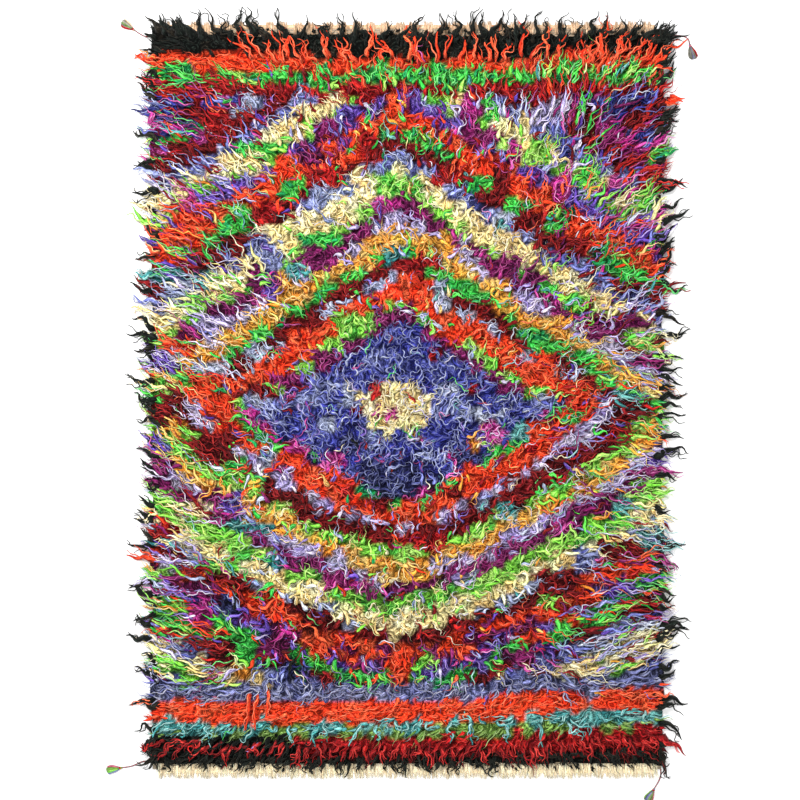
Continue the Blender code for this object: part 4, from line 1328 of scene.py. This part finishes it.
def build_tassel(corner, material):
    """A bound head with loose strands that spread below it."""
    rng = np.random.default_rng(60 + list(CORNERS).index(corner))
    route = CORNERS[corner]
    end = Vector((*route[-1], 0.0))
    ahead = np.array((end - Vector((*route[-2], 0.0))).normalized())
    start = np.array(end) + ahead * 0.0003
    across = np.array((-ahead[1], ahead[0], 0.0))
    up = np.array((0.0, 0.0, 1.0))
    binding, yarns = TASSELS[corner]
    distances, widths, heights = np.array(TASSEL_SECTIONS).T
    fine = np.linspace(0.0, distances[-1], 40)
    width = np.interp(fine, distances, widths)
    height = np.interp(fine, distances, heights)
    bound = (fine > TASSEL_BINDING[0]) & (fine < TASSEL_BINDING[1])
    ridge = 1.0 + 0.10 * bound * np.sin(TAU * fine / 0.00105)
    sides = 20
    angle = TAU * np.arange(sides) / sides
    fluted = 1.0 + 0.05 * np.cos(7 * angle)[None, :] * (1.0 - bound)[:, None]
    middle = start[None, :] + ahead[None, :] * fine[:, None] + up[None, :] * (height / 2)[:, None]
    rings = (
        middle[:, None, :]
        + (np.cos(angle)[None, :] * fluted * (width * ridge / 2)[:, None])[:, :, None] * across
        + (np.sin(angle)[None, :] * fluted * (height * ridge / 2)[:, None])[:, :, None] * up
    )
    rings[:, :, 2] = np.maximum(rings[:, :, 2], 0.0002)
    flute = (np.arange(sides) * 7 // sides) % len(yarns)
    head = shades(rng, codes(yarns)[flute], 0.05)
    colours = np.where(bound[:, None, None], linear(YARNS[binding][0]), head[None, :, :])
    if np.cross(across, up) @ ahead < 0:
        rings = rings[:, ::-1]
    head_mesh = ring_mesh(f"{corner}_tassel_head", rings, colours * np.ones((len(fine), sides, 1)))
    count = TASSEL_STRANDS
    points = 8
    share = np.linspace(0.0, 1.0, points)[None, :]
    fan = rng.uniform(-1.0, 1.0, count)
    level = rng.uniform(-1.0, 1.0, count) * np.sqrt(1.0 - 0.6 * fan ** 2)
    neck = TASSEL_BINDING[1] - 0.0006
    reach = (TASSEL_LENGTH - neck) * rng.uniform(0.90, 1.0, count) * (1.0 - 0.16 * fan ** 2)
    spread = (0.0046 + (TASSEL_SPREAD - 0.0062) * np.sin(0.5 * math.pi * np.minimum(1.0, 1.15 * share))) / 2
    depth = (0.0046 + (TASSEL_END_HEIGHT - 0.0056) * share) / 2
    wave = 0.0007 * np.sin(TAU * (1.2 * share + rng.random(count)[:, None])) * share
    out = fan[:, None] * spread + wave
    high = 0.0030 + 0.0004 * share + level[:, None] * depth
    run = neck + reach[:, None] * share
    paths = start + run[:, :, None] * ahead + out[:, :, None] * across + high[:, :, None] * up
    zone = ((fan + 1) / 2 * len(yarns) + 0.5 * rng.standard_normal(count)).astype(int)
    yarn = codes(yarns)[np.clip(zone, 0, len(yarns) - 1)]
    radii = thickness(paths, rng.uniform(0.0011, 0.0017, count), 0.85)
    strand_mesh = tube_mesh(f"{corner}_tassel_strands", paths, radii, shades(rng, yarn, 0.10))
    return [
        add_piece(mesh.name, mesh, material, f"tassel_{corner}")
        for mesh in (head_mesh, strand_mesh)
    ]


def build_corners():
    """A cord with its tassel at each corner."""
    cord_wool = wool_material("cord_wool", 0.1, 0.2, 0.05)
    tassel_wool = wool_material("tassel_wool", 0.1, 0.25, 0.08)
    for corner in CORNERS:
        cord, line, length = build_cord(corner, cord_wool)
        tassel = build_tassel(corner, tassel_wool)


def build_floor():
    """The pale floor."""
    bpy.ops.mesh.primitive_plane_add(size=FLOOR_SIZE)
    floor = bpy.context.object
    floor.name = "studio_floor"
    material, nodes = new_material("floor_paint", 0.9, 0.0)
    nodes.shader.inputs["Base Color"].default_value = (FLOOR_GREY, FLOOR_GREY, FLOOR_GREY, 1.0)
    floor.data.materials.append(material)


def build_lights():
    """Two soft lamps that shine on the rug's middle, and a white sky."""
    scene = bpy.context.scene
    for name, (place, size, energy) in LAMPS.items():
        data = bpy.data.lights.new(name, "AREA")
        data.size = size
        data.energy = energy
        light = bpy.data.objects.new(name, data)
        light.location = place
        light.rotation_mode = "QUATERNION"
        light.rotation_quaternion = (-Vector(place)).to_track_quat("-Z", "Y")
        scene.collection.objects.link(light)
    world = bpy.data.worlds.new("studio")
    world.use_nodes = True
    background = world.node_tree.nodes["Background"]
    background.inputs["Color"].default_value = (1.0, 1.0, 1.0, 1.0)
    background.inputs["Strength"].default_value = SKY_STRENGTH
    scene.world = world
    scene.view_settings.view_transform = "Standard"


def build_camera():
    """The photo's view, straight down."""
    scene = bpy.context.scene
    data = bpy.data.cameras.new("camera")
    data.sensor_width = SENSOR_WIDTH
    data.lens = SENSOR_WIDTH * CAMERA_HEIGHT / (PHOTO_SIZE * PIXEL)
    camera = bpy.data.objects.new("camera", data)
    x, y = photo_to_rug(PHOTO_SIZE / 2, PHOTO_SIZE / 2)
    camera.location = (x, y, CAMERA_HEIGHT)
    scene.collection.objects.link(camera)
    scene.camera = camera


build_floor()
build_lights()
build_camera()
build_corners()
build_ground()
random = np.random.default_rng(7)
tied = knots(random)
build_pile_foot(*tied[:3])
build_pile(random, *tied)
build_end("end_band_top", 1.0, TOP_TUFTS, TOP_FRINGE, "tan", 26, 0.62, 0.12, 51)
build_end("end_band_bottom", -1.0, BOTTOM_TUFTS, BOTTOM_FRINGE, "ivory", 34, 1.35, 0.45, 52)
